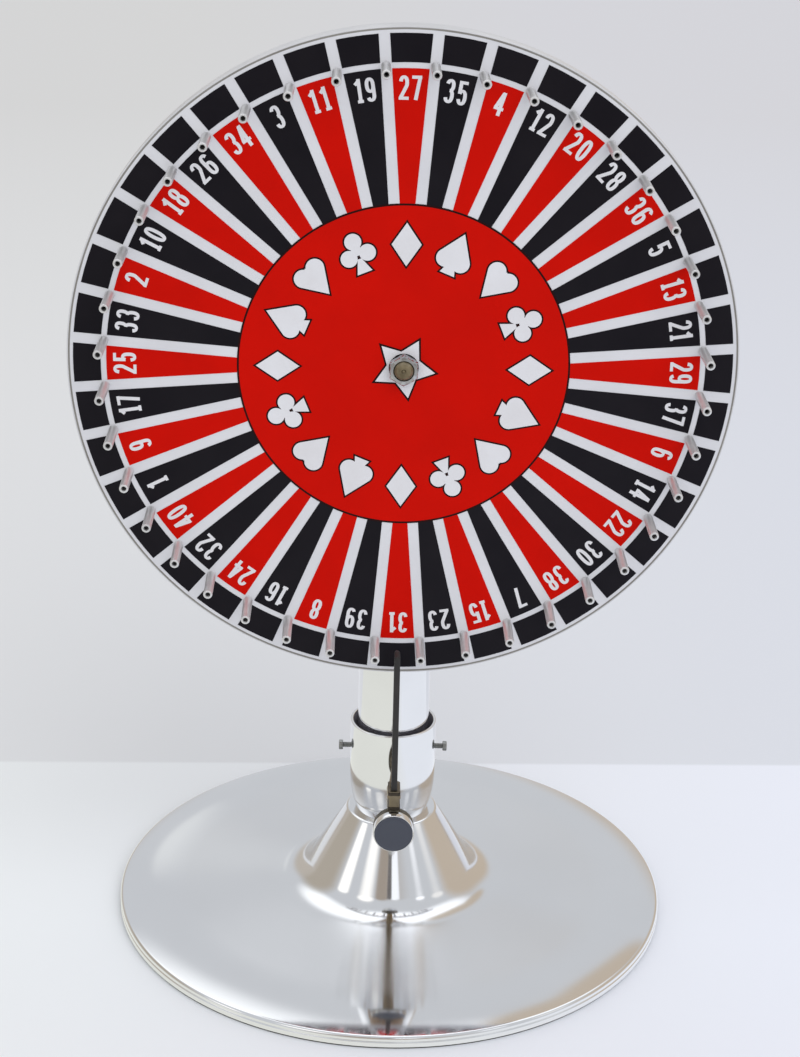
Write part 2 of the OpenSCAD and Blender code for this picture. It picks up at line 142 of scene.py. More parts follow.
def mesh_from(verts, faces, name):
    """A mesh with its faces turned outward."""
    mesh = bpy.data.meshes.new(name)
    mesh.from_pydata([tuple(v) for v in verts], [], faces)
    tidy = bmesh.new()
    tidy.from_mesh(mesh)
    bmesh.ops.recalc_face_normals(tidy, faces=tidy.faces)
    tidy.to_mesh(mesh)
    tidy.free()
    return mesh


def piece(name, shape, look, body, replaces=(), sharp=35):
    """An object from points and faces that rides on a body; edges over the sharp angle stay crisp."""
    mesh = mesh_from(*shape, name)
    mesh.shade_smooth()
    mesh.set_sharp_from_angle(angle=math.radians(sharp))
    mesh.materials.append(look)
    made = bpy.data.objects.new(name, mesh)
    scene.collection.objects.link(made)
    if body:
        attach(made, body)
    if replaces:
        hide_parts(*replaces)
    return made


def add(*shapes):
    """Several shapes as one."""
    verts, faces = [], []
    for more_verts, more_faces in shapes:
        start = len(verts)
        verts += more_verts
        faces += [[start + i for i in face] for face in more_faces]
    return verts, faces


def loops_to_shape(loops, closed=False):
    """A skin over loops that have the same number of points; a loop of one repeated point is a pole."""
    verts, rings, faces = [], [], []
    for loop in loops:
        pole = all((p - loop[0]).length < TINY for p in loop)
        rings.append([len(verts)] * len(loop) if pole else list(range(len(verts), len(verts) + len(loop))))
        verts += loop[:1] if pole else loop
    pairs = list(zip(rings, rings[1:]))
    if closed:
        pairs.append((rings[-1], rings[0]))
    for low, high in pairs:
        for i in range(len(low)):
            j = (i + 1) % len(low)
            face = list(dict.fromkeys([low[i], low[j], high[j], high[i]]))
            if len(face) > 2:
                faces.append(face)
    if not closed:
        for ring in (rings[0], rings[-1]):
            if len(set(ring)) > 2:
                faces.append(list(ring))
    return verts, faces


def turned(profile, place, steps):
    """A profile of (radius, height) turned about an axis; a radius may also be a function of the angle.

    A profile that starts on the axis ends there too, and any other one is closed to a ring.
    """
    loops = []
    for radius, height in profile:
        loop = []
        for i in range(steps):
            a = math.tau * i / steps
            r = radius(a) if callable(radius) else radius
            loop.append(place(r * math.cos(a), r * math.sin(a), height))
        loops.append(loop)
    return loops_to_shape(loops, profile[0][0] != 0)


def arc(centre, radius, start, end, steps):
    """Points on an arc, with its angles in degrees from the outward direction."""
    points = []
    for i in range(steps + 1):
        a = math.radians(start + (end - start) * i / steps)
        points.append((centre[0] + radius * math.cos(a), centre[1] + radius * math.sin(a)))
    return points


def rounded_profile(corners, radius, steps=4):
    """A profile through corners of (radius, height), with each inner corner rounded."""
    points = [corners[0]]
    for before, corner, after in zip(corners, corners[1:], corners[2:]):
        c = Vector(corner)
        arm_1, arm_2 = Vector(before) - c, Vector(after) - c
        cut = min(radius, arm_1.length * 0.45, arm_2.length * 0.45)
        p, q = c + arm_1.normalized() * cut, c + arm_2.normalized() * cut
        for i in range(steps + 1):
            t = i / steps
            points.append(tuple(p * (1 - t) ** 2 + c * 2 * t * (1 - t) + q * t ** 2))
    return points + [corners[-1]]


def hexagon(flat_r, limit=2):
    """A hexagon's radius by angle, with its corners cut at a number of times its flat radius."""

    def radius(a):
        side = flat_r / math.cos((a + math.pi / 6) % (math.pi / 3) - math.pi / 6)
        return min(side, flat_r * limit)

    return radius


def cross_radius(a, half_width, reach):
    """Distance to the outline of a cross at an angle."""
    side = abs((a + math.pi / 4) % (math.pi / 2) - math.pi / 4)
    tip = reach / math.cos(side)
    return tip if side < TINY else min(tip, half_width / math.sin(side))


# Flat print shapes


def prism(outline, thick, hole=None):
    """A flat solid on z = 0: one filled outline, or the strip between it and a hole."""
    count = len(outline)
    sides = [(i, (i + 1) % count) for i in range(count)]
    rings = (outline, hole) if hole else (outline,)
    verts = [(x, y, z) for z in (0, thick) for ring in rings for x, y in ring]
    if not hole:
        caps = [list(range(count)), list(range(count, 2 * count))]
        return verts, caps + [[i, j, count + j, count + i] for i, j in sides]
    faces = []
    for i, j in sides:
        out_low, in_low, out_high, in_high = ((i + count * k, j + count * k) for k in range(4))
        for one, other in ((out_low, in_low), (out_high, in_high), (out_low, out_high), (in_low, in_high)):
            faces.append([*one, *reversed(other)])
    return verts, faces


def united(shapes, name):
    """Overlapping closed shapes as one solid mesh."""
    made = []
    for shape in shapes:
        solid = bpy.data.objects.new(name, mesh_from(*shape, name))
        scene.collection.objects.link(solid)
        made.append(solid)
    for other in made[1:]:
        join = made[0].modifiers.new("join", "BOOLEAN")
        join.operation = "UNION"
        join.solver = "EXACT"
        join.object = other
    graph = bpy.context.evaluated_depsgraph_get()
    result = made[0].evaluated_get(graph).to_mesh()
    verts = [tuple(v.co) for v in result.vertices]
    faces = [list(p.vertices) for p in result.polygons]
    for solid in made:
        data = solid.data
        bpy.data.objects.remove(solid)
        bpy.data.meshes.remove(data)
    return verts, faces


# Numerals: strokes in millimetres, with thick stems and thinner bars
DIGIT_W = 6.1
DIGIT_H = 14.8
DIGIT_STEP = 8.0
NARROW_STEP = 7.1
STEM = 2.25
BAR = 1.9
PRINT_MM = 0.1
FILM = PRINT_MM * mm


def stroke(points, closed=False):
    """A pen stroke along points as a flat solid; its width follows the direction it runs in."""
    left, right = [], []
    count = len(points)
    for i, (x, y) in enumerate(points):
        before = points[i - 1] if closed or i else points[i]
        after = points[(i + 1) % count] if closed or i < count - 1 else points[i]
        dx, dy = after[0] - before[0], after[1] - before[1]
        length = math.hypot(dx, dy)
        nx, ny = -dy / length, dx / length
        half = math.hypot(nx * STEM, ny * BAR) / 2
        left.append((x + nx * half, y + ny * half))
        right.append((x - nx * half, y - ny * half))
    if closed:
        return prism(left, PRINT_MM, right)
    return prism(left + right[::-1], PRINT_MM)


def bowl(cx, cy, rx, ry, start, end, steps=28):
    """Points on a slightly squared ellipse between two angles in degrees."""
    squareness = 2 / 2.35
    points = []
    whole = abs(end - start) >= 360
    for i in range(steps if whole else steps + 1):
        a = math.radians(start + (end - start) * i / steps)
        x, y = (math.copysign(abs(v) ** squareness, v) for v in (math.cos(a), math.sin(a)))
        points.append((cx + rx * x, cy + ry * y))
    return points


def digit_strokes():
    """Strokes of the figures 0 to 9, centred on x = 0 and standing on y = 0."""
    a = (DIGIT_W - STEM) / 2
    low, top = BAR / 2, DIGIT_H - BAR / 2
    h = top - low
    mid = low + 0.53 * h
    up_r, low_r = (top - mid) / 2, (mid - low) / 2
    up_c, low_c = (top + mid) / 2, (low + mid) / 2
    six_r = 0.29 * h

    def ring(y, rx, ry, steps=28):
        return stroke(bowl(0, y, rx, ry, 0, 360, steps), True)

    def bar(y):
        return stroke([(-a - STEM / 2, y), (a + STEM / 2, y)])

    zero = [ring(low + h / 2, a, h / 2, 40)]
    one = [stroke([(0.2 * a, 0), (0.2 * a, DIGIT_H)])]
    one += [stroke([(0.2 * a, top - 0.02 * h), (-1.05 * a, top - 0.2 * h)])]
    one += [stroke([(-0.75 * a, low), (1.15 * a, low)])]
    two = [stroke(bowl(0, top - 0.27 * h, a, 0.27 * h, 170, -25, 24) + [(-a, low + 0.02 * h)]), bar(low)]
    three = [stroke(bowl(0, up_c, 0.95 * a, up_r, 165, -90, 24))]
    three += [stroke(bowl(0, low_c, a, low_r, 90, -165, 24))]
    four = [stroke([(0.45 * a, 0), (0.45 * a, DIGIT_H)])]
    four += [stroke([(0.3 * a, top + 0.02 * h), (-a, low + 0.3 * h)]), bar(low + 0.27 * h)]
    five = [stroke([(-a - 0.1, top), (a + STEM / 3, top)])]
    five += [stroke([(-0.85 * a, DIGIT_H), (-0.85 * a, low + 0.46 * h)])]
    five += [stroke(bowl(0, low + 0.3 * h, a, 0.3 * h, 150, -165, 28))]
    six = [ring(low + six_r, a, six_r)]
    six += [stroke(bowl(0, top - 0.25 * h, a, 0.25 * h, 25, 180, 16) + [(-a, low + six_r)])]
    seven = [bar(top), stroke([(a, top), (-0.35 * a, 0)])]
    eight = [ring(up_c, 0.92 * a, up_r), ring(low_c, a, low_r)]
    nine = [([(-x, DIGIT_H - y, z) for x, y, z in verts], faces) for verts, faces in six]
    return [zero, one, two, three, four, five, six, seven, eight, nine]


def placed_flat(shape, angle, radius, out, shift=0.0):
    """A flat shape in millimetres set on the wheel, its top outward; radius is where its y = 0 lies."""
    verts, faces = shape
    up = Vector((math.cos(angle), math.sin(angle)))
    right = Vector((up.y, -up.x))
    set_verts = []
    for x, y, z in verts:
        p = up * (radius + y * mm) + right * ((x + shift) * mm)
        set_verts.append(on_axle(p.x, p.y, out + z * mm))
    return set_verts, faces


def number_at(i):
    """The number printed on segment i, counted anticlockwise from the bottom."""
    k = (33 - i) % SEGMENTS
    return k // 5 + 1 + 8 * (k % 5)


def numerals():
    """All the numbers on the wheel."""
    digits = [united(strokes, "digit") for strokes in digit_strokes()]
    edge_gap = 4.4 * mm
    foot_r = WEDGE_R - edge_gap - DIGIT_H * mm
    shapes = []
    for i in range(SEGMENTS):
        text = str(number_at(i))
        angle = -math.pi / 2 + i * STEP
        step = NARROW_STEP if "1" in text else DIGIT_STEP
        for n, figure in enumerate(text):
            shift = (n - (len(text) - 1) / 2) * step
            shapes.append(placed_flat(digits[int(figure)], angle, foot_r, FILM_OUT, shift))
    return add(*shapes)


# Card pips round the hub: plain traditional figures, each with a dark line round it
PIP_R = 81 * mm
PIP_COUNT = 16
PIP_LINE = 1.1


def disc(cx, cy, r, steps=32):
    turns = [math.tau * i / steps for i in range(steps)]
    return [(cx + r * math.cos(a), cy + r * math.sin(a)) for a in turns]


def grown(outline, by):
    """A convex outline, anticlockwise, moved outward on every side."""
    count = len(outline)
    result = []
    for i in range(count):
        p, q, r = (Vector(outline[(i + k - 1) % count]) for k in range(3))
        n1 = Vector(((q - p).y, -(q - p).x)).normalized()
        n2 = Vector(((r - q).y, -(r - q).x)).normalized()
        result.append(tuple(q + (n1 + n2) * by / (1 + n1.dot(n2))))
    return result


def pip_outlines(grow):
    """Diamond, spade, heart and club as convex outlines that overlap, in millimetres about their middles."""
    diamond = [grown([(0, -14), (9.5, 0), (0, 14), (-9.5, 0)], grow)]
    lobe_x, lobe_y, lobe_r = 5.2, 5.6, 5.9
    slant = math.radians(38)
    side = (lobe_x + lobe_r * math.cos(-slant), lobe_y + lobe_r * math.sin(-slant))
    heart_body = [(0, -13), side, (0, lobe_y + 4), (-side[0], side[1])]
    heart_lobes = [disc(s * lobe_x, lobe_y, lobe_r + grow) for s in (1, -1)]
    heart = [*heart_lobes, grown(heart_body, grow)]
    stem = grown([(-5, -13.5), (5, -13.5), (1.3, -4), (-1.3, -4)], grow)
    spade_body = [(-x, 1.5 - y) for x, y in heart_body]
    spade_lobes = [disc(s * lobe_x, 1.5 - lobe_y, lobe_r + grow) for s in (1, -1)]
    spade = [*spade_lobes, grown(spade_body, grow), stem]
    leaf = 5.4
    club = [disc(0, 7.6, leaf + grow), disc(6.2, -1.8, leaf + grow), disc(-6.2, -1.8, leaf + grow)]
    club += [disc(0, 1.6, 3.4 + grow), stem]
    return [diamond, spade, heart, club]


def pips(grow, thick, out):
    """The ring of pips; grow makes them larger for the dark line behind them."""
    figures = [united([prism(o, thick) for o in outlines], "pip") for outlines in pip_outlines(grow)]
    shapes = []
    for i in range(PIP_COUNT):
        angle = math.pi / 2 - math.tau * i / PIP_COUNT
        shapes.append(placed_flat(figures[i % len(figures)], angle, PIP_R, out))
    return add(*shapes)


# Materials


class Tree:
    """The nodes of a material or of the world, with short ways to add and join them."""

    def __init__(self, owner):
        owner.use_nodes = True
        self.owner = owner
        self.nodes = owner.node_tree.nodes
        self.links = owner.node_tree.links

    def new(self, kind, operation=None):
        made = self.nodes.new("ShaderNode" + kind)
        if operation:
            made.operation = operation
        return made

    def feed(self, socket, value):
        """Give a socket a number, a colour or the output of another node."""
        if isinstance(value, bpy.types.NodeSocket):
            self.links.new(value, socket)
        elif socket.type == "RGBA":
            socket.default_value = (*value, 1)
        else:
            socket.default_value = value

    def filled(self, node, **values):
        """A node with its sockets filled; the words of a socket's name are joined by underscores."""
        for name, value in values.items():
            self.feed(node.inputs[name.replace("_", " ")], value)
        return node

    def coordinates(self, scale=(1, 1, 1)):
        """Object coordinates, stretched by a scale."""
        source = self.new("TexCoord").outputs["Object"]
        return self.filled(self.new("Mapping"), Vector=source, Scale=scale).outputs["Vector"]

    def noise(self, vector, scale, detail=4.0, rough=0.55):
        made = self.new("TexNoise")
        return self.filled(made, Vector=vector, Scale=scale, Detail=detail, Roughness=rough).outputs["Fac"]

    def spread(self, value, low, high, from_low=0.3, from_high=0.7, shape="LINEAR"):
        """A value mapped from one range to another."""
        made = self.new("MapRange")
        made.interpolation_type = shape
        self.filled(made, Value=value, From_Min=from_low, From_Max=from_high, To_Min=low, To_Max=high)
        return made.outputs["Result"]

    def blend(self, factor, first, second):
        """A mix of two colours; either may be the output of another node."""
        made = self.new("Mix")
        made.data_type = "RGBA"
        self.feed(made.inputs["Factor"], factor)
        self.feed(made.inputs[6], first)
        self.feed(made.inputs[7], second)
        return made.outputs[2]

    def length(self, vector):
        made = self.new("VectorMath", "LENGTH")
        self.feed(made.inputs[0], vector)
        return made.outputs["Value"]

    def switch(self, ray, others, chosen):
        """A mix that shows one shader to a kind of ray and another to the others."""
        made = self.filled(self.new("MixShader"), Fac=self.new("LightPath").outputs[ray])
        self.feed(made.inputs[1], others.outputs[0])
        self.feed(made.inputs[2], chosen.outputs[0])
        return made


class Finish(Tree):
    """A material with one shader."""

    def __init__(self, name):
        super().__init__(bpy.data.materials.new(name))
        self.shader = self.nodes["Principled BSDF"]

    def set(self, **values):
        self.filled(self.shader, **values)

    def bump(self, height, strength, distance):
        made = self.filled(self.new("Bump"), Height=height, Strength=strength, Distance=distance)
        self.set(Normal=made.outputs["Normal"])

    def clouded(self, cloud, first, second, rough):
        """Colour and roughness that follow one cloudy pattern."""
        tone = self.blend(self.spread(cloud, 0, 1), first, second)
        self.set(Base_Color=tone, Roughness=self.spread(cloud, *rough))


def metal(name, bright, dull, rough, grain=(1, 1, 1), grain_scale=900, marks=0.03, patch_scale=18, bare=1):
    """A metal with cloudy wear in its colour and roughness, and fine tool marks along a grain.

    A bare share under 1 is for metal with a dull skin on it.
    """
    finish = Finish(name)
    finish.clouded(finish.noise(finish.coordinates(), patch_scale, 5), bright, dull, rough)
    finish.set(Metallic=bare)
    finish.bump(finish.noise(finish.coordinates(grain), grain_scale, 2), marks, 0.05 * mm)
    return finish.owner


def print_look(name, colour, faded, gloss=0.42, shine=0.10):
    """Ink under a clear coat: slightly uneven colour and gloss, with a fine orange-peel surface."""
    finish = Finish(name)
    vector = finish.coordinates()
    tone = finish.blend(finish.spread(finish.noise(vector, 26, 6, 0.6), 0, 1), colour, faded)
    rough = finish.spread(finish.noise(vector, 60, 3), gloss - 0.06, gloss + 0.08)
    finish.set(Base_Color=tone, Roughness=rough, Specular_IOR_Level=shine)
    finish.bump(finish.noise(vector, 1500, 2), 0.04, 0.04 * mm)
    return finish.owner


# Roughness of the buffed and of the softer chrome, and the radii between which one turns into the other
BUFFED = 0.08
SOFT_DISH = 0.18
DISH_START = (0.066, 0.088)
DISH_END = (0.148, 0.168)


def spun_look():
    """Spun and plated steel: fine rings from the lathe stretch what it mirrors towards and from the middle.

    The cone and the bent edge are buffed bright, and the flat of the dish is left softer.
    """
    finish = Finish("spun_chrome")
    around = finish.new("Tangent")
    around.direction_type = "RADIAL"
    around.axis = "Z"
    finish.set(Metallic=1, Anisotropic=1.0, Anisotropic_Rotation=0.25, Tangent=around.outputs["Tangent"])
    wear = finish.spread(finish.noise(finish.coordinates(), 14, 5), 0, 1)
    finish.set(Base_Color=finish.blend(wear, (0.80, 0.805, 0.82), (0.78, 0.785, 0.80)))
    radius = finish.length(finish.coordinates((1, 1, 0)))
    rough = finish.new("Math", "MINIMUM")
    finish.feed(rough.inputs[0], finish.spread(radius, SOFT_DISH, BUFFED, *DISH_END))
    finish.feed(rough.inputs[1], finish.spread(radius, BUFFED, SOFT_DISH, *DISH_START))
    finish.set(Roughness=rough.outputs["Value"])
    return finish.owner


def wood_look():
    """Bare plywood: long grain with darker streaks and fine pores."""
    finish = Finish("plywood")
    along = finish.coordinates((1, 1, 0.09))
    streaks = finish.noise(along, 120, 6, 0.62)
    rings = finish.new("TexWave")
    rings.wave_type = "BANDS"
    rings.bands_direction = "X"
    finish.filled(rings, Scale=22, Distortion=9, Detail=3, Vector=along)
    tone = finish.blend(rings.outputs["Fac"], (0.50, 0.34, 0.19), (0.40, 0.25, 0.13))
    tone = finish.blend(finish.spread(streaks, 0, 0.7), tone, (0.28, 0.17, 0.08))
    finish.set(Base_Color=tone, Roughness=0.62)
    finish.bump(streaks, 0.25, 0.3 * mm)
    return finish.owner


def leather_look():
    """Black harness leather: a pebbled grain with slightly browned high spots."""
    finish = Finish("leather")
    vector = finish.coordinates()
    pebbles = finish.filled(finish.new("TexVoronoi"), Scale=1400, Vector=vector)
    cloud = finish.noise(vector, 90, 5)
    finish.clouded(cloud, (0.010, 0.010, 0.012), (0.030, 0.028, 0.027), (0.48, 0.68))
    finish.bump(pebbles.outputs["Distance"], 0.35, 0.2 * mm)
    return finish.owner


def moulded_look(name, colour, light, rough, texture=900, bump=0.12):
    """Moulded plastic or rubber: a fine even texture and a slightly dusty tone."""
    finish = Finish(name)
    vector = finish.coordinates()
    finish.clouded(finish.noise(vector, 40, 4), colour, light, (rough - 0.05, rough + 0.08))
    finish.bump(finish.noise(vector, texture, 2), bump, 0.1 * mm)
    return finish.owner


EVEN = (1, 1, 1)
CHROME = metal("chrome", (0.80, 0.805, 0.82), (0.76, 0.765, 0.78), (0.035, 0.075), marks=0.008)
SPUN_CHROME = spun_look()
PEG_METAL = metal(
    "peg_metal", (0.74, 0.74, 0.75), (0.62, 0.62, 0.63), (0.38, 0.48), (1, 12, 1), 500, 0.05, 60, 0.5)
PEG_BORE = metal("peg_bore", (0.76, 0.76, 0.76), (0.66, 0.66, 0.66), (0.5, 0.6), marks=0.1)
ZINC = metal("zinc_steel", (0.66, 0.67, 0.69), (0.50, 0.50, 0.51), (0.22, 0.36), EVEN, 700, 0.06, 90)
BEARING = metal("bearing_steel", (0.62, 0.62, 0.64), (0.55, 0.55, 0.56), (0.15, 0.25), patch_scale=60)
NUT_STEEL = metal("nut_steel", (0.52, 0.53, 0.55), (0.36, 0.37, 0.39), (0.26, 0.38), EVEN, 700, 0.06, 300)
# Yellow zinc plate, made darker than its own colour: painted shade round the bolt's end in the nut.
YELLOW_ZINC_SHADED = metal("yellow_zinc", (0.33, 0.28, 0.19), (0.17, 0.14, 0.09), (0.28, 0.42), EVEN, 600, 0.08, 140)
TURNED = metal("hub_metal", (0.66, 0.67, 0.68), (0.56, 0.57, 0.58), (0.22, 0.34), (1, 30, 1), 200, 0.08, 40)
POST_BRASS = metal(
    "post_brass", (0.30, 0.22, 0.13), (0.20, 0.15, 0.09), (0.16, 0.30), (1, 20, 1), 300, 0.05, 60)
FERRULE = metal(
    "ferrule_brass", (0.25, 0.21, 0.15), (0.17, 0.14, 0.10), (0.28, 0.42), (1, 1, 12), 500, 0.08, 120)
FERRULE_BAND = metal(
    "ferrule_band", (0.09, 0.075, 0.06), (0.05, 0.045, 0.04), (0.35, 0.5), EVEN, 700, 0.1, 120)
# The knurled grip's metal, painted dark olive as the shade at the back of the knob.
GRIP_SHADE_METAL = metal("knob_grip", (0.17, 0.16, 0.13), (0.11, 0.10, 0.08), (0.25, 0.38), marks=0.06)
CLAMP_STEEL = metal("clamp_steel", (0.42, 0.43, 0.43), (0.30, 0.31, 0.31), (0.34, 0.46), marks=0.06)
WHITE_SHEET = print_look("white_sheet", (0.69, 0.69, 0.72), (0.64, 0.64, 0.67), 0.40)
WHITE_PRINT = print_look("white_print", (0.73, 0.73, 0.76), (0.67, 0.66, 0.68), 0.42)
RED_PRINT = print_look("red_print", (0.585, 0.0046, 0.0010), (0.53, 0.0042, 0.0010), shine=0.04)
BLACK_PRINT = print_look("black_print", (0.0070, 0.0060, 0.0095), (0.0100, 0.0085, 0.0120))
LINE_PRINT = print_look("line_print", (0.020, 0.003, 0.003), (0.016, 0.003, 0.003))
JOINT_LINE = print_look("joint_line", (0.27, 0.26, 0.24), (0.20, 0.19, 0.175), 0.5)
EDGE_BAND = moulded_look("edge_plastic", (0.64, 0.64, 0.66), (0.57, 0.57, 0.59), 0.36, 700, 0.04)
CAP_PLASTIC = moulded_look("black_plastic", (0.018, 0.018, 0.019), (0.030, 0.030, 0.030), 0.42)
KNOB_PLASTIC = moulded_look("knob_plastic", (0.046, 0.053, 0.076), (0.056, 0.062, 0.084), 0.46, 1300, 0.10)
# Painted shade: a darker grey for the gap inside the collar's mouth, round the mast.
MOUTH_SHADE = moulded_look("collar_inside", (0.34, 0.33, 0.38), (0.26, 0.25, 0.29), 0.5, 700, 0.05)
RUBBER = moulded_look("rubber", (0.020, 0.020, 0.020), (0.035, 0.034, 0.033), 0.75, 1200, 0.25)
CONCRETE = moulded_look("ballast", (0.40, 0.39, 0.36), (0.30, 0.29, 0.27), 0.85, 260, 0.6)
WOOD = wood_look()
LEATHER = leather_look()

# CAD nodes that are shown as they are, each with its finish
CARRIED_OVER = {
    "base_ballast": CONCRETE, "floor_ring": RUBBER, "tie_bolt": ZINC, "tie_washer": ZINC,
    "axle_spacer": ZINC, "saddle_washer": ZINC, "ring_spacer": ZINC, "hub_washer": ZINC,
    "inner_rings": BEARING, "outer_rings": BEARING, "bearing_balls": BEARING,
    "wheel_board": WOOD, "face_sheet": WHITE_SHEET, "red_panels": RED_PRINT, "black_panels": BLACK_PRINT,
    "rim_cells": BLACK_PRINT, "hub_disc": RED_PRINT, "star": WHITE_PRINT, "flapper_post": POST_BRASS,
}


def dress_cad():
    for node, finish in CARRIED_OVER.items():
        data = frame["nodes"][node].data
        data.materials.clear()
        data.materials.append(finish)


# Stand pieces

# The base's profile, with slopes in degrees from level and the same arcs as the shell
SHELL_T = 1.5 * mm
RIM_ROLL = 3 * mm
RIM_WALL = 5 * mm
RIM_SLOPE = 14
BEND_W = 25 * mm
DISH_OUT = 3
DISH_IN = 2
FLARE_FOOT_R = 80 * mm
FLARE_R = 25.5 * mm
CONE = 58.5
NECK_R = 33.5 * mm
NECK_ROLL = 3 * mm
TIE_HOLE_R = 6.5 * mm
GROOVE_UP = 3.7 * mm
GROOVE_H = 1.4 * mm
GROOVE_DEPTH = 0.7 * mm


def slope_normal(a):
    return Vector((math.sin(math.radians(a)), math.cos(math.radians(a))))


def slope_arc(centre, radius, start, end, steps, inside=1):
    """Points on an arc by the slope of its surface; inside is -1 on a hollow arc."""
    slopes = [start + (end - start) * i / steps for i in range(steps + 1)]
    return [tuple(centre + slope_normal(a) * radius * inside) for a in slopes]


def arc_radius(width, steep, gentle):
    """Radius of an arc that turns between two slopes over a radial width."""
    return width / (math.sin(math.radians(steep)) - math.sin(math.radians(gentle)))


def rim_groove():
    """A fine groove round the rim, under its roll, with soft edges."""
    middle = SHELL_FOOT_Z + GROOVE_UP
    rows = []
    for share, sunk in ((-1, 0), (-0.7, 0.15), (-0.4, 0.8), (0, 1), (0.4, 0.8), (0.7, 0.15), (1, 0)):
        rows.append((BASE_R - GROOVE_DEPTH * sunk, middle + GROOVE_H / 2 * share))
    return rows


def base_skin(depth):
    """The base's profile at a depth under its skin, from the foot of the rim to the neck."""
    rim_c = Vector((BASE_R - RIM_ROLL, SHELL_FOOT_Z + RIM_WALL))
    bend_out = rim_c + slope_normal(RIM_SLOPE) * RIM_ROLL
    bend_r = arc_radius(BEND_W, RIM_SLOPE, DISH_OUT)
    bend_c = bend_out - slope_normal(RIM_SLOPE) * bend_r
    dish_out = bend_c + slope_normal(DISH_OUT) * bend_r
    dish_r = arc_radius(dish_out.x - FLARE_FOOT_R, DISH_OUT, DISH_IN)
    dish_c = dish_out - slope_normal(DISH_OUT) * dish_r
    flare_c = dish_c + slope_normal(DISH_IN) * (dish_r + FLARE_R)
    cone_foot = flare_c - slope_normal(CONE) * FLARE_R
    cone_top_r = NECK_R - NECK_ROLL + NECK_ROLL * math.sin(math.radians(CONE))
    cone_h = (cone_foot.x - cone_top_r) * math.tan(math.radians(CONE))
    cone_top = Vector((cone_top_r, cone_foot.y + cone_h))
    neck_c = cone_top - slope_normal(CONE) * NECK_ROLL
    points = [(BASE_R - depth, SHELL_FOOT_Z)]
    if not depth:
        points += rim_groove()
    points += slope_arc(rim_c, RIM_ROLL - depth, 90, RIM_SLOPE, 24)
    points += slope_arc(bend_c, bend_r - depth, RIM_SLOPE, DISH_OUT, 24)[1:]
    points += slope_arc(dish_c, dish_r - depth, DISH_OUT, DISH_IN, 36)[1:]
    points += slope_arc(flare_c, FLARE_R + depth, DISH_IN, CONE, 40, -1)[1:]
    cone_steps = 10
    foot, top = Vector(points[-1]), neck_c + slope_normal(CONE) * (NECK_ROLL - depth)
    points += [tuple(foot.lerp(top, i / cone_steps)) for i in range(1, cone_steps)]
    points += slope_arc(neck_c, NECK_ROLL - depth, CONE, 0, 12)
    return points + [(TIE_HOLE_R, neck_c.y + NECK_ROLL - depth)]


def base_shell():
    outside = base_skin(0)
    inside = base_skin(SHELL_T)
    shape = turned(outside + inside[::-1], on_mast, 288)
    piece("base_shell_skin", shape, SPUN_CHROME, "stand", ["base_shell"], sharp=40)


COLLAR_FOOT_R = 25.7 * mm
TAPER_H = 27 * mm
MOUTH_WALL = 2 * mm
SOCKET_TOP_Z = NECK_Z + 32 * mm


def collar_outside():
    """The collar's side from its foot to the rim, with a rolled lip."""
    inward = COLLAR_R - COLLAR_FOOT_R
    taper_r = (TAPER_H ** 2 + inward ** 2) / (2 * inward)
    taper_top = NECK_Z + TAPER_H
    points = [(TIE_HOLE_R, NECK_Z)]
    steps = 24
    for i in range(steps + 1):
        h = TAPER_H * (1 - i / steps)
        points.append((COLLAR_R - taper_r + math.sqrt(taper_r ** 2 - h ** 2), taper_top - h))
    lip = 0.7 * mm
    points += arc((COLLAR_R - lip, COLLAR_TOP_Z - lip), lip, 0, 90, 5)
    points += arc((COLLAR_R - MOUTH_WALL + lip, COLLAR_TOP_Z - lip), lip, 90, 180, 5)
    return points


def neck_collar():
    """The collar's cup, and a thin darker sheet inside its mouth: painted shade in the gap round the mast."""
    mouth_r = COLLAR_R - MOUTH_WALL
    socket_r = MAST_R + 0.05 * mm
    inside = [(mouth_r, SOCKET_TOP_Z), (socket_r, SOCKET_TOP_Z)]
    inside += [(socket_r, MAST_FOOT_Z), (TIE_HOLE_R, MAST_FOOT_Z)]
    shape = turned(collar_outside() + inside, on_mast, 192)
    piece("collar_shell", shape, CHROME, "stand", ["neck_collar"], sharp=50)
    # A film-thin darker sheet inside the mouth: painted shade in the gap round the mast.
    start_z, floor_z = COLLAR_TOP_Z - 1 * mm, SOCKET_TOP_Z + FILM
    shade_sheet = [(mouth_r, start_z), (mouth_r, SOCKET_TOP_Z), (socket_r, SOCKET_TOP_Z), (socket_r, floor_z)]
    shade_sheet += [(mouth_r - FILM, floor_z), (mouth_r - FILM, start_z)]
    piece("collar_mouth", turned(shade_sheet, on_mast, 192), MOUTH_SHADE, "stand")


MAST_WALL = 2 * mm


def mast():
    chamfer = 0.5 * mm
    inner_r = MAST_R - MAST_WALL
    profile = [(inner_r, MAST_FOOT_Z), (MAST_R, MAST_FOOT_Z), (MAST_R, MAST_TOP_Z - chamfer)]
    profile += [(MAST_R - chamfer, MAST_TOP_Z), (inner_r, MAST_TOP_Z)]
    piece("mast_skin", turned(profile, on_mast, 192), CHROME, "stand", ["mast_tube"])


def mast_cap():
    """The plug in the mast's top, with a rounded head."""
    low = extent("mast_cap", 2)[0]
    seat = MAST_TOP_Z + 0.1 * mm
    plug_r = MAST_R - MAST_WALL - 0.05 * mm
    corners = [(0, CAP_TOP_Z), (MAST_R, CAP_TOP_Z), (MAST_R, seat), (plug_r, seat), (plug_r, low), (0, low)]
    shape = turned(rounded_profile(corners, 1.6 * mm, 6), on_mast, 128)
    piece("mast_cap_moulded", shape, CAP_PLASTIC, "stand", ["mast_cap"])


CLAMP_HEAD_R = 3.5 * mm
CLAMP_HEAD_T = 3 * mm
CLAMP_THREAD_R = 1.95 * mm
CLAMP_SOCKET_R = 1.5 * mm


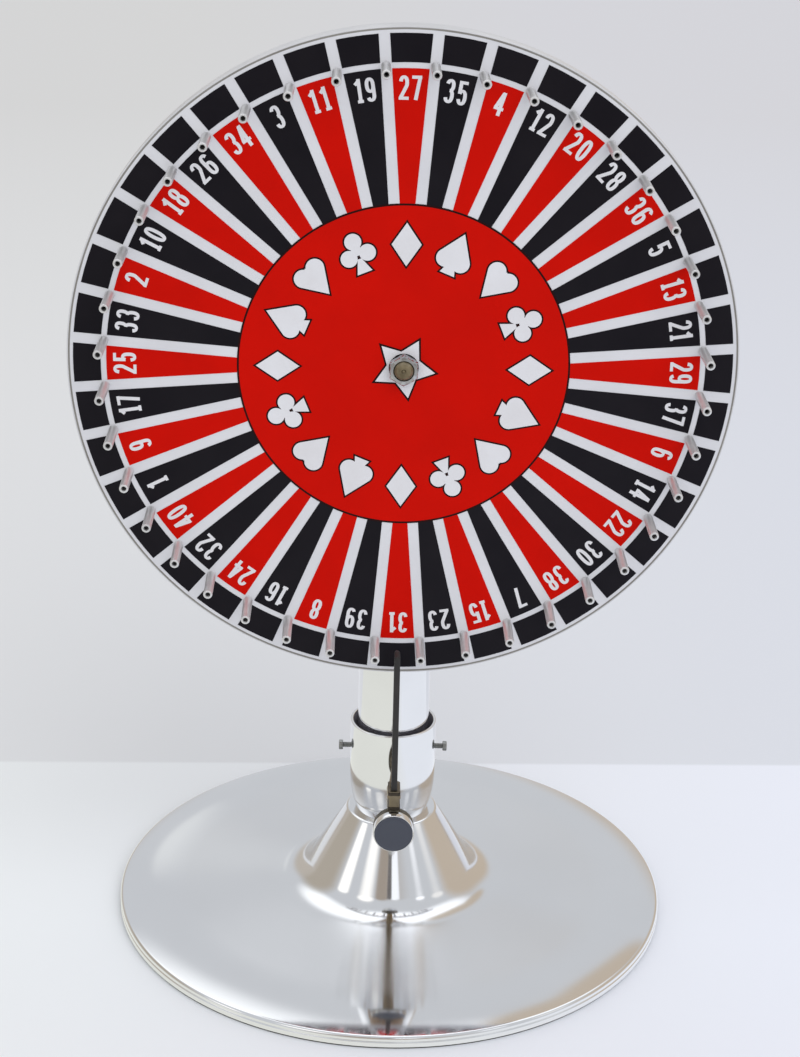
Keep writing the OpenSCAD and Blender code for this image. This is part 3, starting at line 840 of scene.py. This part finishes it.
def threaded(radius, start, end, pitch, depth):
    """Profile rows of a shank with round grooves for its thread."""
    rows = []
    turns = max(1, int(abs(end - start) / pitch))
    turn = (end - start) / turns
    for i in range(turns):
        low = start + turn * i
        rows += [(radius, low), (radius, low + turn * 0.35), (radius - depth, low + turn * 0.7)]
    return rows + [(radius, end)]


def clamp_screws():
    """The two screws in the collar's sides, each with a hexagon socket in its head."""
    tip = MAST_R + 0.1 * mm
    head_back = CLAMP_REACH - CLAMP_HEAD_T
    socket = hexagon(CLAMP_SOCKET_R)
    shapes = []
    for side in (1, -1):
        rows = [(0, tip)] + threaded(CLAMP_THREAD_R, tip, head_back, 0.9 * mm, 0.3 * mm)
        head = [(CLAMP_THREAD_R, head_back), (CLAMP_HEAD_R, head_back), (CLAMP_HEAD_R, CLAMP_REACH)]
        rows += rounded_profile(head + [(1.12 * CLAMP_SOCKET_R, CLAMP_REACH)], 0.6 * mm)
        rows += [(socket, CLAMP_REACH - 0.05 * mm), (socket, CLAMP_REACH - 1.6 * mm)]
        rows += [(0, CLAMP_REACH - 1.8 * mm)]
        shapes.append(turned(rows, sideways(side, 0, CLAMP_Z), 48))
    piece("clamp_screws_cut", add(*shapes), CLAMP_STEEL, "stand", ["clamp_screws"])


# Axle and hub pieces


def hex_rows(flat_r, low, high, chamfer):
    """Profile rows of a hexagon with its corners turned down at both ends."""
    ring, cut, side = flat_r * 0.97, hexagon(flat_r, 1.07), hexagon(flat_r)
    shoulder = chamfer * 0.55
    rows = [(ring, low), (cut, low + shoulder), (side, low + chamfer)]
    return rows + [(side, high - chamfer), (cut, high - shoulder), (ring, high)]


AXLE_R = 6 * mm
AXLE_PITCH = 1.25 * mm
AXLE_CHAMFER = 1.3 * mm
NUT_FLAT_R = 9 * mm
SADDLE_T = 3 * mm


def axle_bolt():
    """The axle bolt, with its head behind the mast and a centre mark in its end."""
    nut_back = -extent("axle_nut", 1)[1]
    head_back, end = (-c for c in reversed(extent("axle_bolt", 1)))
    head_front = -(MAST_R + SADDLE_T)
    rows = [(0, head_back)] + hex_rows(NUT_FLAT_R, head_back, head_front, 0.9 * mm)
    rows += [(AXLE_R, head_front), (AXLE_R, nut_back)]
    rows += threaded(AXLE_R, nut_back, end - AXLE_CHAMFER, AXLE_PITCH, 0.45 * mm)
    rows += [(AXLE_R - AXLE_CHAMFER, end), (1.6 * mm, end), (0.9 * mm, end - 0.7 * mm), (0, end - 0.8 * mm)]
    shape = turned(rows, on_axle, 96)
    # Its yellow zinc is darkened with painted shade round its end.
    piece("axle_bolt_turned", shape, YELLOW_ZINC_SHADED, "stand", ["axle_bolt"])


def axle_nut():
    """The nut on the wheel's face, with its bore opened at both ends."""
    back, front = (-c for c in reversed(extent("axle_nut", 1)))
    bore = AXLE_R + 0.05 * mm
    lead = 0.8 * mm
    rows = hex_rows(NUT_FLAT_R, back, front, 1.1 * mm)
    rows += [(bore + lead, front), (bore, front - lead), (bore, back + lead), (bore + lead, back)]
    shape = turned(rows, on_axle, 96)
    piece("axle_nut_cut", shape, NUT_STEEL, "stand", ["axle_nut"])


HOUSING_R = 18 * mm
FLANGE_T = 4 * mm
BEARING_R = 14.05 * mm
BEARING_W = 8.3 * mm
BEARING_SHELF_R = 11.4 * mm


def hub():
    """The bearing housing with its flange, and the flange's screws."""
    back, front = (-c for c in reversed(extent("hub_flange", 1)))
    flange_r = extent("hub_flange", 2)[1] - HUB_Z
    seat = BOARD_BACK - FLANGE_T
    corners = [
        (BEARING_SHELF_R, back + BEARING_W), (BEARING_R, back + BEARING_W), (BEARING_R, back),
        (HOUSING_R, back), (HOUSING_R, seat), (flange_r, seat), (flange_r, BOARD_BACK),
        (HOUSING_R, BOARD_BACK), (HOUSING_R, front), (BEARING_R, front),
        (BEARING_R, front - BEARING_W), (BEARING_SHELF_R, front - BEARING_W),
    ]
    shape = turned(rounded_profile(corners, 0.7 * mm, 3), on_axle, 160)
    piece("hub_flange_turned", shape, TURNED, "wheel", ["hub_flange"])
    circle_r = (flange_r + HOUSING_R) / 2
    shapes = []
    for i in range(4):
        a = math.radians(45 + 90 * i)
        place = facing(circle_r * math.cos(a), HUB_Z + circle_r * math.sin(a))
        shapes.append(pan_screw(place, seat, 4 * mm, 2.6 * mm, 1.95 * mm, 14 * mm, a))
    piece("flange_screws_cut", add(*shapes), ZINC, "wheel", ["flange_bolts"])


# A pan head's profile, as shares of its radius and of its height
PAN_HEAD = ((1, 0), (1, 0.45), (0.93, 0.75), (0.78, 0.95), (0.62, 1))


def pan_screw(place, seat, head_r, head_t, thread_r, length, turn):
    """A pan-head screw with a cross recess, its head behind the seat and its thread forward of it."""

    def recess(a):
        return cross_radius(a + turn, head_r * 0.13, head_r * 0.52)

    rows = [(0, seat + length), (thread_r, seat + length), (thread_r, seat)]
    rows += [(head_r * wide, seat - head_t * up) for wide, up in PAN_HEAD]
    rows += [(recess, seat - head_t), (recess, seat - head_t * 0.45), (0, seat - head_t * 0.4)]
    return turned(rows, place, 48)


# Wheel pieces


def peg_place(i):
    """The frame of peg i; the flapper stands between two pegs."""
    a = -math.pi / 2 + (i + 0.5) * STEP
    return facing(PEG_CIRCLE_R * math.cos(a), HUB_Z + PEG_CIRCLE_R * math.sin(a))


PEG_BORE_R = 1.6 * mm
PEG_ROUND = 0.9 * mm


def peg_tube(place):
    """A peg: a tube with a round tip and a small lead into its bore."""
    tip, bore = PEG_TIP_OUT, PEG_BORE_R
    profile = [(bore, FACE_OUT), (PEG_R, FACE_OUT)]
    profile += arc((PEG_R - PEG_ROUND, tip - PEG_ROUND), PEG_ROUND, 0, 90, 6)
    profile += [(bore + 0.25 * mm, tip), (bore, tip - 0.3 * mm), (bore, tip - 1.2 * mm)]
    return turned(profile, place, 32)


def peg_bore(place):
    """The inside of a peg's bore, as a thin cup."""
    mouth, end = PEG_TIP_OUT - 1 * mm, PEG_TIP_OUT - 20 * mm
    inner_r = PEG_BORE_R - FILM
    cup = [(0, end - FILM), (PEG_BORE_R, end - FILM), (PEG_BORE_R, mouth), (inner_r, mouth)]
    return turned(cup + [(inner_r, end), (0, end)], place, 24)


def pegs():
    """All the pegs, with a screw behind each; the screws' recesses are turned each its own way."""
    tubes, bores, screws = [], [], []
    for i in range(SEGMENTS):
        place = peg_place(i)
        tubes.append(peg_tube(place))
        bores.append(peg_bore(place))
        screws.append(pan_screw(place, BOARD_BACK, 3.5 * mm, 2.4 * mm, 1.5 * mm, 27 * mm, 2.4 * i))
    piece("peg_tubes", add(*tubes), PEG_METAL, "wheel", ["pegs"], sharp=50)
    piece("peg_bores", add(*bores), PEG_BORE, "wheel")
    piece("peg_screws_cut", add(*screws), ZINC, "wheel", ["peg_screws"])


def edge_band():
    """The band round the wheel, and the fine line where it meets the face."""
    corners = [(BOARD_R, BAND_BACK), (WHEEL_R, BAND_BACK), (WHEEL_R, FACE_OUT), (BOARD_R, FACE_OUT)]
    shape = turned(rounded_profile(corners, 0.6 * mm, 4), on_axle, 360)
    piece("edge_band_rolled", shape, EDGE_BAND, "wheel", ["edge_band"])
    low, high, out = BOARD_R - 0.5 * mm, BOARD_R + 0.6 * mm, FACE_OUT + FILM
    seam = [(low, FACE_OUT), (high, FACE_OUT), (high, out), (low, out)]
    piece("edge_seam", turned(seam, on_axle, 360), JOINT_LINE, "wheel")


def prints():
    piece("numerals", numerals(), WHITE_PRINT, "wheel")
    piece("pips", pips(0.0, 2 * PRINT_MM, FILM_OUT), WHITE_PRINT, "wheel")
    piece("pip_lines", pips(PIP_LINE, PRINT_MM, FILM_OUT), LINE_PRINT, "wheel")
    half_line = 0.6 * mm
    low, high, out = HUB_PRINT_R - half_line, HUB_PRINT_R + half_line, FILM_OUT + FILM
    line = [(low, FILM_OUT), (high, FACE_OUT), (high, out), (low, out)]
    piece("hub_line", turned(line, on_axle, 256), LINE_PRINT, "wheel")


# The star's printed line in millimetres: its tips, its notches, the hole in it and its turn in degrees
STAR_LINE_TIP = 23.1
STAR_LINE_NOTCH = 12.3
STAR_LINE_HOLE = 9.7
STAR_TURN = 27


def star_line():
    """The dark line round the star: a larger star with a round hole in it."""
    outer, inner = [], []
    for i in range(10):
        a = math.radians(90 - STAR_TURN + 36 * i)
        r = STAR_LINE_NOTCH if i % 2 else STAR_LINE_TIP
        outer.append((r * math.cos(a), r * math.sin(a)))
        inner.append((STAR_LINE_HOLE * math.cos(a), STAR_LINE_HOLE * math.sin(a)))
    verts, faces = prism(outer, PRINT_MM, inner)
    verts = [on_axle(x * mm, y * mm, FILM_OUT + z * mm) for x, y, z in verts]
    piece("star_line", (verts, faces), LINE_PRINT, "wheel")


# Flapper pieces

STRIP_T = 4 * mm
STRIP_W = 12 * mm
STRIP_EDGE = 0.7 * mm


def rounded_box_loop(x, y, radius, place, height, steps=5):
    """A rectangle with round corners as one loop."""
    loop = []
    for cx, cy, start in ((1, 1, 0), (-1, 1, 90), (-1, -1, 180), (1, -1, 270)):
        centre = (cx * (x / 2 - radius), cy * (y / 2 - radius))
        loop += [place(px, py, height) for px, py in arc(centre, radius, start, start + 90, steps)]
    return loop


def on_strip(x, y, z):
    """A point in the strip's frame: x across its thickness, y along the post, z up."""
    return Vector((x, -FLAP_OUT - y, z))


def flapper():
    """The leather strip in one length, from the ferrule's floor to its round tip."""
    low = extent("flapper_root", 2)[0]
    pivot, tip = extent("flapper_blade", 2)
    pivot += STRIP_T / 2
    shoulder = tip - STRIP_T / 2
    rows, tip_rows = 90, 8
    loops = []
    for i in range(rows + 1):
        z = low + (shoulder - low) * i / rows
        loops.append(rounded_box_loop(STRIP_T, STRIP_W, STRIP_EDGE, on_strip, z))
    for i in range(1, tip_rows + 1):
        a = math.pi / 2 * i / tip_rows
        thick = max(STRIP_T * math.cos(a), 0.3 * mm)
        wide = STRIP_W - (STRIP_T - thick) * 0.35
        z = shoulder + STRIP_T / 2 * math.sin(a)
        loops.append(rounded_box_loop(thick, wide, min(STRIP_EDGE, thick * 0.45), on_strip, z))
    covers = ["flapper_blade", "flapper_root"]
    strip = piece("flapper_strip", loops_to_shape(loops), LEATHER, None, covers, sharp=60)
    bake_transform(strip)


FERRULE_X = 7.4 * mm
FERRULE_Y = 16.4 * mm
BAND_H = 2.4 * mm
BAND_T = 0.5 * mm
EYE_T = 3 * mm
EYE_R = 8 * mm


def ferrule():
    """The holder: an eye on the post, a neck, and the ferrule with its two bands and rivets."""
    top = extent("flapper_holder", 2)[1]
    low = extent("flapper_root", 2)[0] - 1.7 * mm
    soft = 0.8 * mm

    def outer(z, inset=0.0):
        return rounded_box_loop(FERRULE_X - 2 * inset, FERRULE_Y - 2 * inset, soft, on_strip, z)

    slot_x, slot_y = STRIP_T + 0.2 * mm, STRIP_W + 0.2 * mm
    loops = [outer(low, 0.5 * mm), outer(low + 0.5 * mm), outer(top - 0.4 * mm), outer(top, 0.3 * mm)]
    loops += [rounded_box_loop(slot_x, slot_y, soft, on_strip, z) for z in (top, top - 11 * mm)]
    body = loops_to_shape(loops)
    neck_ends = (POST_Z + EYE_R * 0.6, low + 0.6 * mm)
    neck = [rounded_box_loop(FERRULE_X * 0.92, EYE_T, 0.6 * mm, on_strip, z) for z in neck_ends]
    eye_back, eye_front = FLAP_OUT - EYE_T / 2, FLAP_OUT + EYE_T / 2
    bore = 3 * mm
    corners = [(bore, eye_back), (EYE_R, eye_back), (EYE_R, eye_front), (bore, eye_front)]
    eye = turned(rounded_profile(corners, 0.5 * mm, 3), on_post, 64)
    shape = add(body, loops_to_shape(neck), eye)
    piece("flapper_ferrule", shape, FERRULE, "stand", ["flapper_holder"])
    bands = []
    for start in (low + 0.3 * mm, top - BAND_H - 0.5 * mm):
        rows = ((0, 0), (0.15, BAND_T), (0.85, BAND_T), (1, 0))
        loops = [outer(start + BAND_H * share, -rise) for share, rise in rows]
        bands.append(loops_to_shape(loops))
    piece("ferrule_bands", add(*bands), FERRULE_BAND, "stand")


def rivets():
    """Two rivets through the ferrule and the strip, with low round heads on both sides."""
    middle_z = sum(extent("holder_rivets", 2)) / 2
    reach = extent("holder_rivets", 0)[1]
    shank_r, head_r = 1.1 * mm, 2 * mm
    rows = [(0, 0), (shank_r, 0), (shank_r, FERRULE_X / 2), (head_r, FERRULE_X / 2)]
    rows += [(head_r * 0.95, reach - 0.4 * mm), (head_r * 0.75, reach - 0.12 * mm)]
    rows += [(head_r * 0.4, reach), (0, reach)]
    shapes = []
    for y in (-STRIP_W / 4, STRIP_W / 4):
        for side in (1, -1):
            shapes.append(turned(rows, sideways(side, -FLAP_OUT - y, middle_z), 24))
    piece("ferrule_rivets", add(*shapes), POST_BRASS, "stand", ["holder_rivets"])


KNURL_TEETH = 72
KNURL_DEPTH = 0.3 * mm
GRIP_T = 6 * mm
KNOB_BORE = 3 * mm
FACE_SINK = 1.5 * mm


def knob():
    """The clamp knob: a chrome body, and behind it a grip with a fine straight knurl, painted dark olive as
    the shade at the knob's back.
    """
    back, front = (-c for c in reversed(extent("knob_body", 1)))
    knob_r = extent("knob_body", 0)[1]
    face_r = extent("knob_face", 0)[1]
    grip_end = back + GRIP_T
    step_r = knob_r - 0.8 * mm
    steps = KNURL_TEETH * 4

    def ridged(a):
        return knob_r - KNURL_DEPTH * (1 + math.cos(KNURL_TEETH * a)) / 2

    rows = [(KNOB_BORE, grip_end), (step_r, grip_end)]
    rows += [(knob_r - 0.3 * mm, grip_end + 0.3 * mm), (knob_r, grip_end + 0.7 * mm)]
    rows += [(knob_r, front - 0.5 * mm), (knob_r - 0.35 * mm, front), (face_r, front)]
    rows += [(face_r, front - FACE_SINK), (KNOB_BORE, front - FACE_SINK)]
    piece("knob_turned", turned(rows, on_post, steps), CHROME, "knob", ["knob_body"])
    # The grip behind the body, in a dark olive that paints the shade at the knob's back.
    rows = [(KNOB_BORE, back), (knob_r - 1 * mm, back), (knob_r - 0.4 * mm, back + 0.4 * mm)]
    rows += [(ridged, back + 0.8 * mm), (ridged, grip_end - 0.6 * mm)]
    rows += [(step_r, grip_end - 0.2 * mm), (step_r, grip_end), (KNOB_BORE, grip_end)]
    piece("knob_grip", turned(rows, on_post, steps), GRIP_SHADE_METAL, "knob")


def knob_face():
    """The knob's dark face: a round rim with a low dome inside it."""
    back = -extent("knob_body", 1)[0] - FACE_SINK + 0.05 * mm
    front = -extent("knob_face", 1)[0]
    seat_r = extent("knob_face", 0)[1] - 0.1 * mm
    corner = 0.7 * mm
    rim_in = seat_r - 1.3 * mm
    dome_r, dome_h, dome_steps = rim_in - 0.4 * mm, 0.35 * mm, 10
    profile = [(0, back), (seat_r, back), (seat_r, front - 0.9 * mm)]
    profile += arc((seat_r - corner, front - 0.9 * mm), corner, 0, 90, 5)[1:]
    profile += [(rim_in, front - 0.2 * mm), (dome_r, front - dome_h)]
    for i in range(1, dome_steps + 1):
        share = 1 - i / dome_steps
        profile.append((dome_r * share, front - dome_h * share ** 2))
    shape = turned(profile, on_post, 128)
    piece("knob_face_moulded", shape, KNOB_PLASTIC, "knob", ["knob_face"])


# Stage: floor, light and camera

# The floor's colours, from left to right or near to far, and where they change, in metres. The right side is
# painted bluer, as cool light from that side, and the wall's tone is painted darker farther off, as light
# falling off up the wall.
FLOOR_HALF = 14.0
EDGE_SOFT = 0.002
WALL_END_Y = 3.2
COOL_LIGHT_X = (-0.5, 0.5)
TABLE_TONES = ((0.84, 0.865, 0.87), (0.84, 0.865, 0.97))
NEAR_WALL_TONES = ((0.765, 0.775, 0.79), (0.72, 0.745, 0.82))
FAR_WALL_TONES = ((0.67, 0.67, 0.67), (0.67, 0.67, 0.705))

# What mirrors see of the floor: a glowing sheet, painted cream on the left and blue on the right as warm and
# cool light, and brown far off as a painted reflection of the room beyond the table.
MIRRORED_X = (-0.05, 0.16)
MIRRORED_TONES = ((0.81, 0.82, 0.765), (0.87, 0.90, 0.96))
MIRRORED_END = (1.1, 2.2)
MIRRORED_FAR = (0.42, 0.36, 0.30)
MIRRORED_LIGHT = 1.1


def floor_look():
    """A pale table, with the tone of a wall behind its edge, both painted bluer to the right as cool light;
    mirrors see the floor as a glowing sheet with painted light and reflections.
    """
    paint = Finish("floor")
    position = paint.new("NewGeometry").outputs["Position"]
    parts = paint.filled(paint.new("SeparateXYZ"), Vector=position)
    x, y = parts.outputs["X"], parts.outputs["Y"]
    slanted = paint.new("Math", "MULTIPLY_ADD")
    for socket, value in zip(slanted.inputs, (x, -TABLE_EDGE_SLANT, y)):
        paint.feed(socket, value)
    edge = (TABLE_EDGE_Y - EDGE_SOFT, TABLE_EDGE_Y + EDGE_SOFT)
    behind = paint.spread(slanted.outputs["Value"], 0, 1, *edge)
    # Painted cool light: the table and the wall turn bluer towards the right.
    cool_light_share = paint.spread(x, 0, 1, *COOL_LIGHT_X)
    table, near_wall, far_wall = (
        paint.blend(cool_light_share, *tones) for tones in (TABLE_TONES, NEAR_WALL_TONES, FAR_WALL_TONES))
    # Painted fall-off of light: the wall's tone darkens from the table's edge to its far end.
    wall = paint.blend(paint.spread(y, 0, 1, TABLE_EDGE_Y, WALL_END_Y), near_wall, far_wall)
    paint.set(Base_Color=paint.blend(behind, table, wall), Roughness=0.9, Specular_IOR_Level=0.0)
    mirrored = paint.blend(paint.spread(x, 0, 1, *MIRRORED_X), *MIRRORED_TONES)
    mirrored = paint.blend(behind, mirrored, wall)
    beyond = paint.spread(paint.length(position), 0, 1, *MIRRORED_END)
    mirrored = paint.blend(beyond, mirrored, MIRRORED_FAR)
    # Painted reflections: to mirrors the floor glows in these tones instead of being lit.
    lit = paint.filled(paint.new("Emission"), Color=mirrored, Strength=MIRRORED_LIGHT)
    surface = paint.switch("Is Glossy Ray", paint.shader, lit)
    paint.filled(paint.nodes["Material Output"], Surface=surface.outputs[0])
    return paint.owner


def floor():
    corners = [(x * FLOOR_HALF, y * FLOOR_HALF, 0) for x, y in ((-1, -1), (1, -1), (1, 1), (-1, 1))]
    mesh = bpy.data.meshes.new("floor")
    mesh.from_pydata(corners, [], [(0, 1, 2, 3)])
    mesh.materials.append(floor_look())
    made = bpy.data.objects.new("floor", mesh)
    scene.collection.objects.link(made)


# What mirrors see of the studio. Each card has its azimuth from the viewer's side to the right and its
# height, the angles of its full and faded reach, all in degrees, and its colour.
STUDIO_WALL = (0.68, 0.70, 0.73)
STUDIO_CARDS = (
    (180, 80, 10, 29, (1.62, 1.66, 1.70)),
    (-132, 55, 4, 27, (1.40, 1.43, 1.45)),
    (122, 62, 2, 25, (1.40, 1.43, 1.47)),
    (0, 4, 14, 40, (0.50, 0.45, 0.40)),
    (-112, 4, 22, 42, (0.50, 0.45, 0.38)),
    (-145, -2, 16, 29, (0.58, 0.53, 0.47)),
    (112, 4, 24, 44, (0.62, 0.53, 0.43)),
    (144, -2, 20, 33, (0.62, 0.53, 0.43)),
    (149, 43, 6, 10, (0.62, 0.53, 0.43)),
    (149, 54, 6, 10, (0.62, 0.53, 0.43)),
    (-171, 27, 1, 4, (0.88, 0.90, 0.91)),
    (-12, 31, 5, 10, (0.42, 0.36, 0.30)),
    (7, 31, 4, 7, (1.25, 1.28, 1.34)),
    (-1, 31, 2, 4, (0.08, 0.07, 0.07)),
    (-36, 36, 5, 12, (1.45, 1.42, 1.36)),
    (-68, 22, 4, 10, (1.50, 1.47, 1.40)),
    (44, 34, 3, 7, (1.40, 1.42, 1.46)),
    (70, 30, 4, 10, (1.05, 1.04, 1.02)),
)


def studio_direction(azimuth, height):
    """A direction by its azimuth from the viewer's side and its height, in degrees."""
    a, h = math.radians(azimuth), math.radians(height)
    return Vector((math.sin(a) * math.cos(h), -math.cos(a) * math.cos(h), math.sin(h)))


def studio_colour(studio):
    """The studio's wall with its cards on it, by direction."""
    direction = studio.new("TexCoord").outputs["Generated"]
    colour = STUDIO_WALL
    for azimuth, height, full, faded, tone in STUDIO_CARDS:
        towards = studio.new("VectorMath", "DOT_PRODUCT")
        studio.feed(towards.inputs[0], direction)
        studio.feed(towards.inputs[1], studio_direction(azimuth, height))
        ends = (math.cos(math.radians(a)) for a in (faded, full))
        card = studio.spread(towards.outputs["Value"], 0, 1, *ends, shape="SMOOTHSTEP")
        colour = studio.blend(card, colour, tone)
    return colour


def world():
    """Even light on the object, a pale background, and a soft studio with a few cards for mirrors."""
    studio = Tree(bpy.data.worlds.new("studio"))
    scene.world = studio.owner
    even = studio.filled(studio.nodes["Background"], Color=(1, 1, 1), Strength=0.80)
    backdrop = studio.filled(studio.new("Background"), Color=(0.67, 0.67, 0.68))
    mirrored = studio.filled(studio.new("Background"), Color=studio_colour(studio))
    for_mirrors = studio.switch("Is Glossy Ray", even, mirrored)
    for_camera = studio.switch("Is Camera Ray", for_mirrors, backdrop)
    studio.filled(studio.nodes["World Output"], Surface=for_camera.outputs[0])


def key_light():
    """A broad soft light from the upper right, in front of the wheel."""
    lamp = bpy.data.lights.new("key", "SUN")
    lamp.energy = 0.9
    lamp.angle = math.radians(50)
    lamp.color = (0.97, 0.98, 1.0)
    made = bpy.data.objects.new("key", lamp)
    towards = Vector((0.45, -0.75, 0.85)).normalized()
    made.rotation_euler = towards.to_track_quat("Z", "Y").to_euler()
    made.visible_glossy = False
    scene.collection.objects.link(made)


def camera():
    """The photograph's camera."""
    yaw, pitch, roll = (math.radians(a) for a in (CAMERA_YAW, CAMERA_PITCH, CAMERA_ROLL))
    forward = Vector((math.sin(yaw) * math.cos(pitch), math.cos(yaw) * math.cos(pitch), -math.sin(pitch)))
    level = Vector((math.cos(yaw), -math.sin(yaw), 0))
    down = forward.cross(level)
    right = level * math.cos(roll) + down * math.sin(roll)
    up = level * math.sin(roll) - down * math.cos(roll)
    lens = bpy.data.cameras.new("camera")
    lens.sensor_fit = "HORIZONTAL"
    lens.sensor_width = SENSOR_MM
    lens.lens = LENS_PX / PHOTO_WIDTH * SENSOR_MM
    lens.clip_end = 60
    made = bpy.data.objects.new("camera", lens)
    turn = Matrix((right, up, -forward)).transposed()
    made.matrix_world = Matrix.Translation(CAMERA_AT) @ turn.to_4x4()
    scene.collection.objects.link(made)
    scene.camera = made


camera()
dress_cad()
base_shell()
neck_collar()
mast()
mast_cap()
clamp_screws()
axle_bolt()
axle_nut()
hub()
pegs()
edge_band()
prints()
star_line()
flapper()
ferrule()
rivets()
knob()
knob_face()
floor()
world()
key_light()
scene.view_settings.view_transform = "Standard"
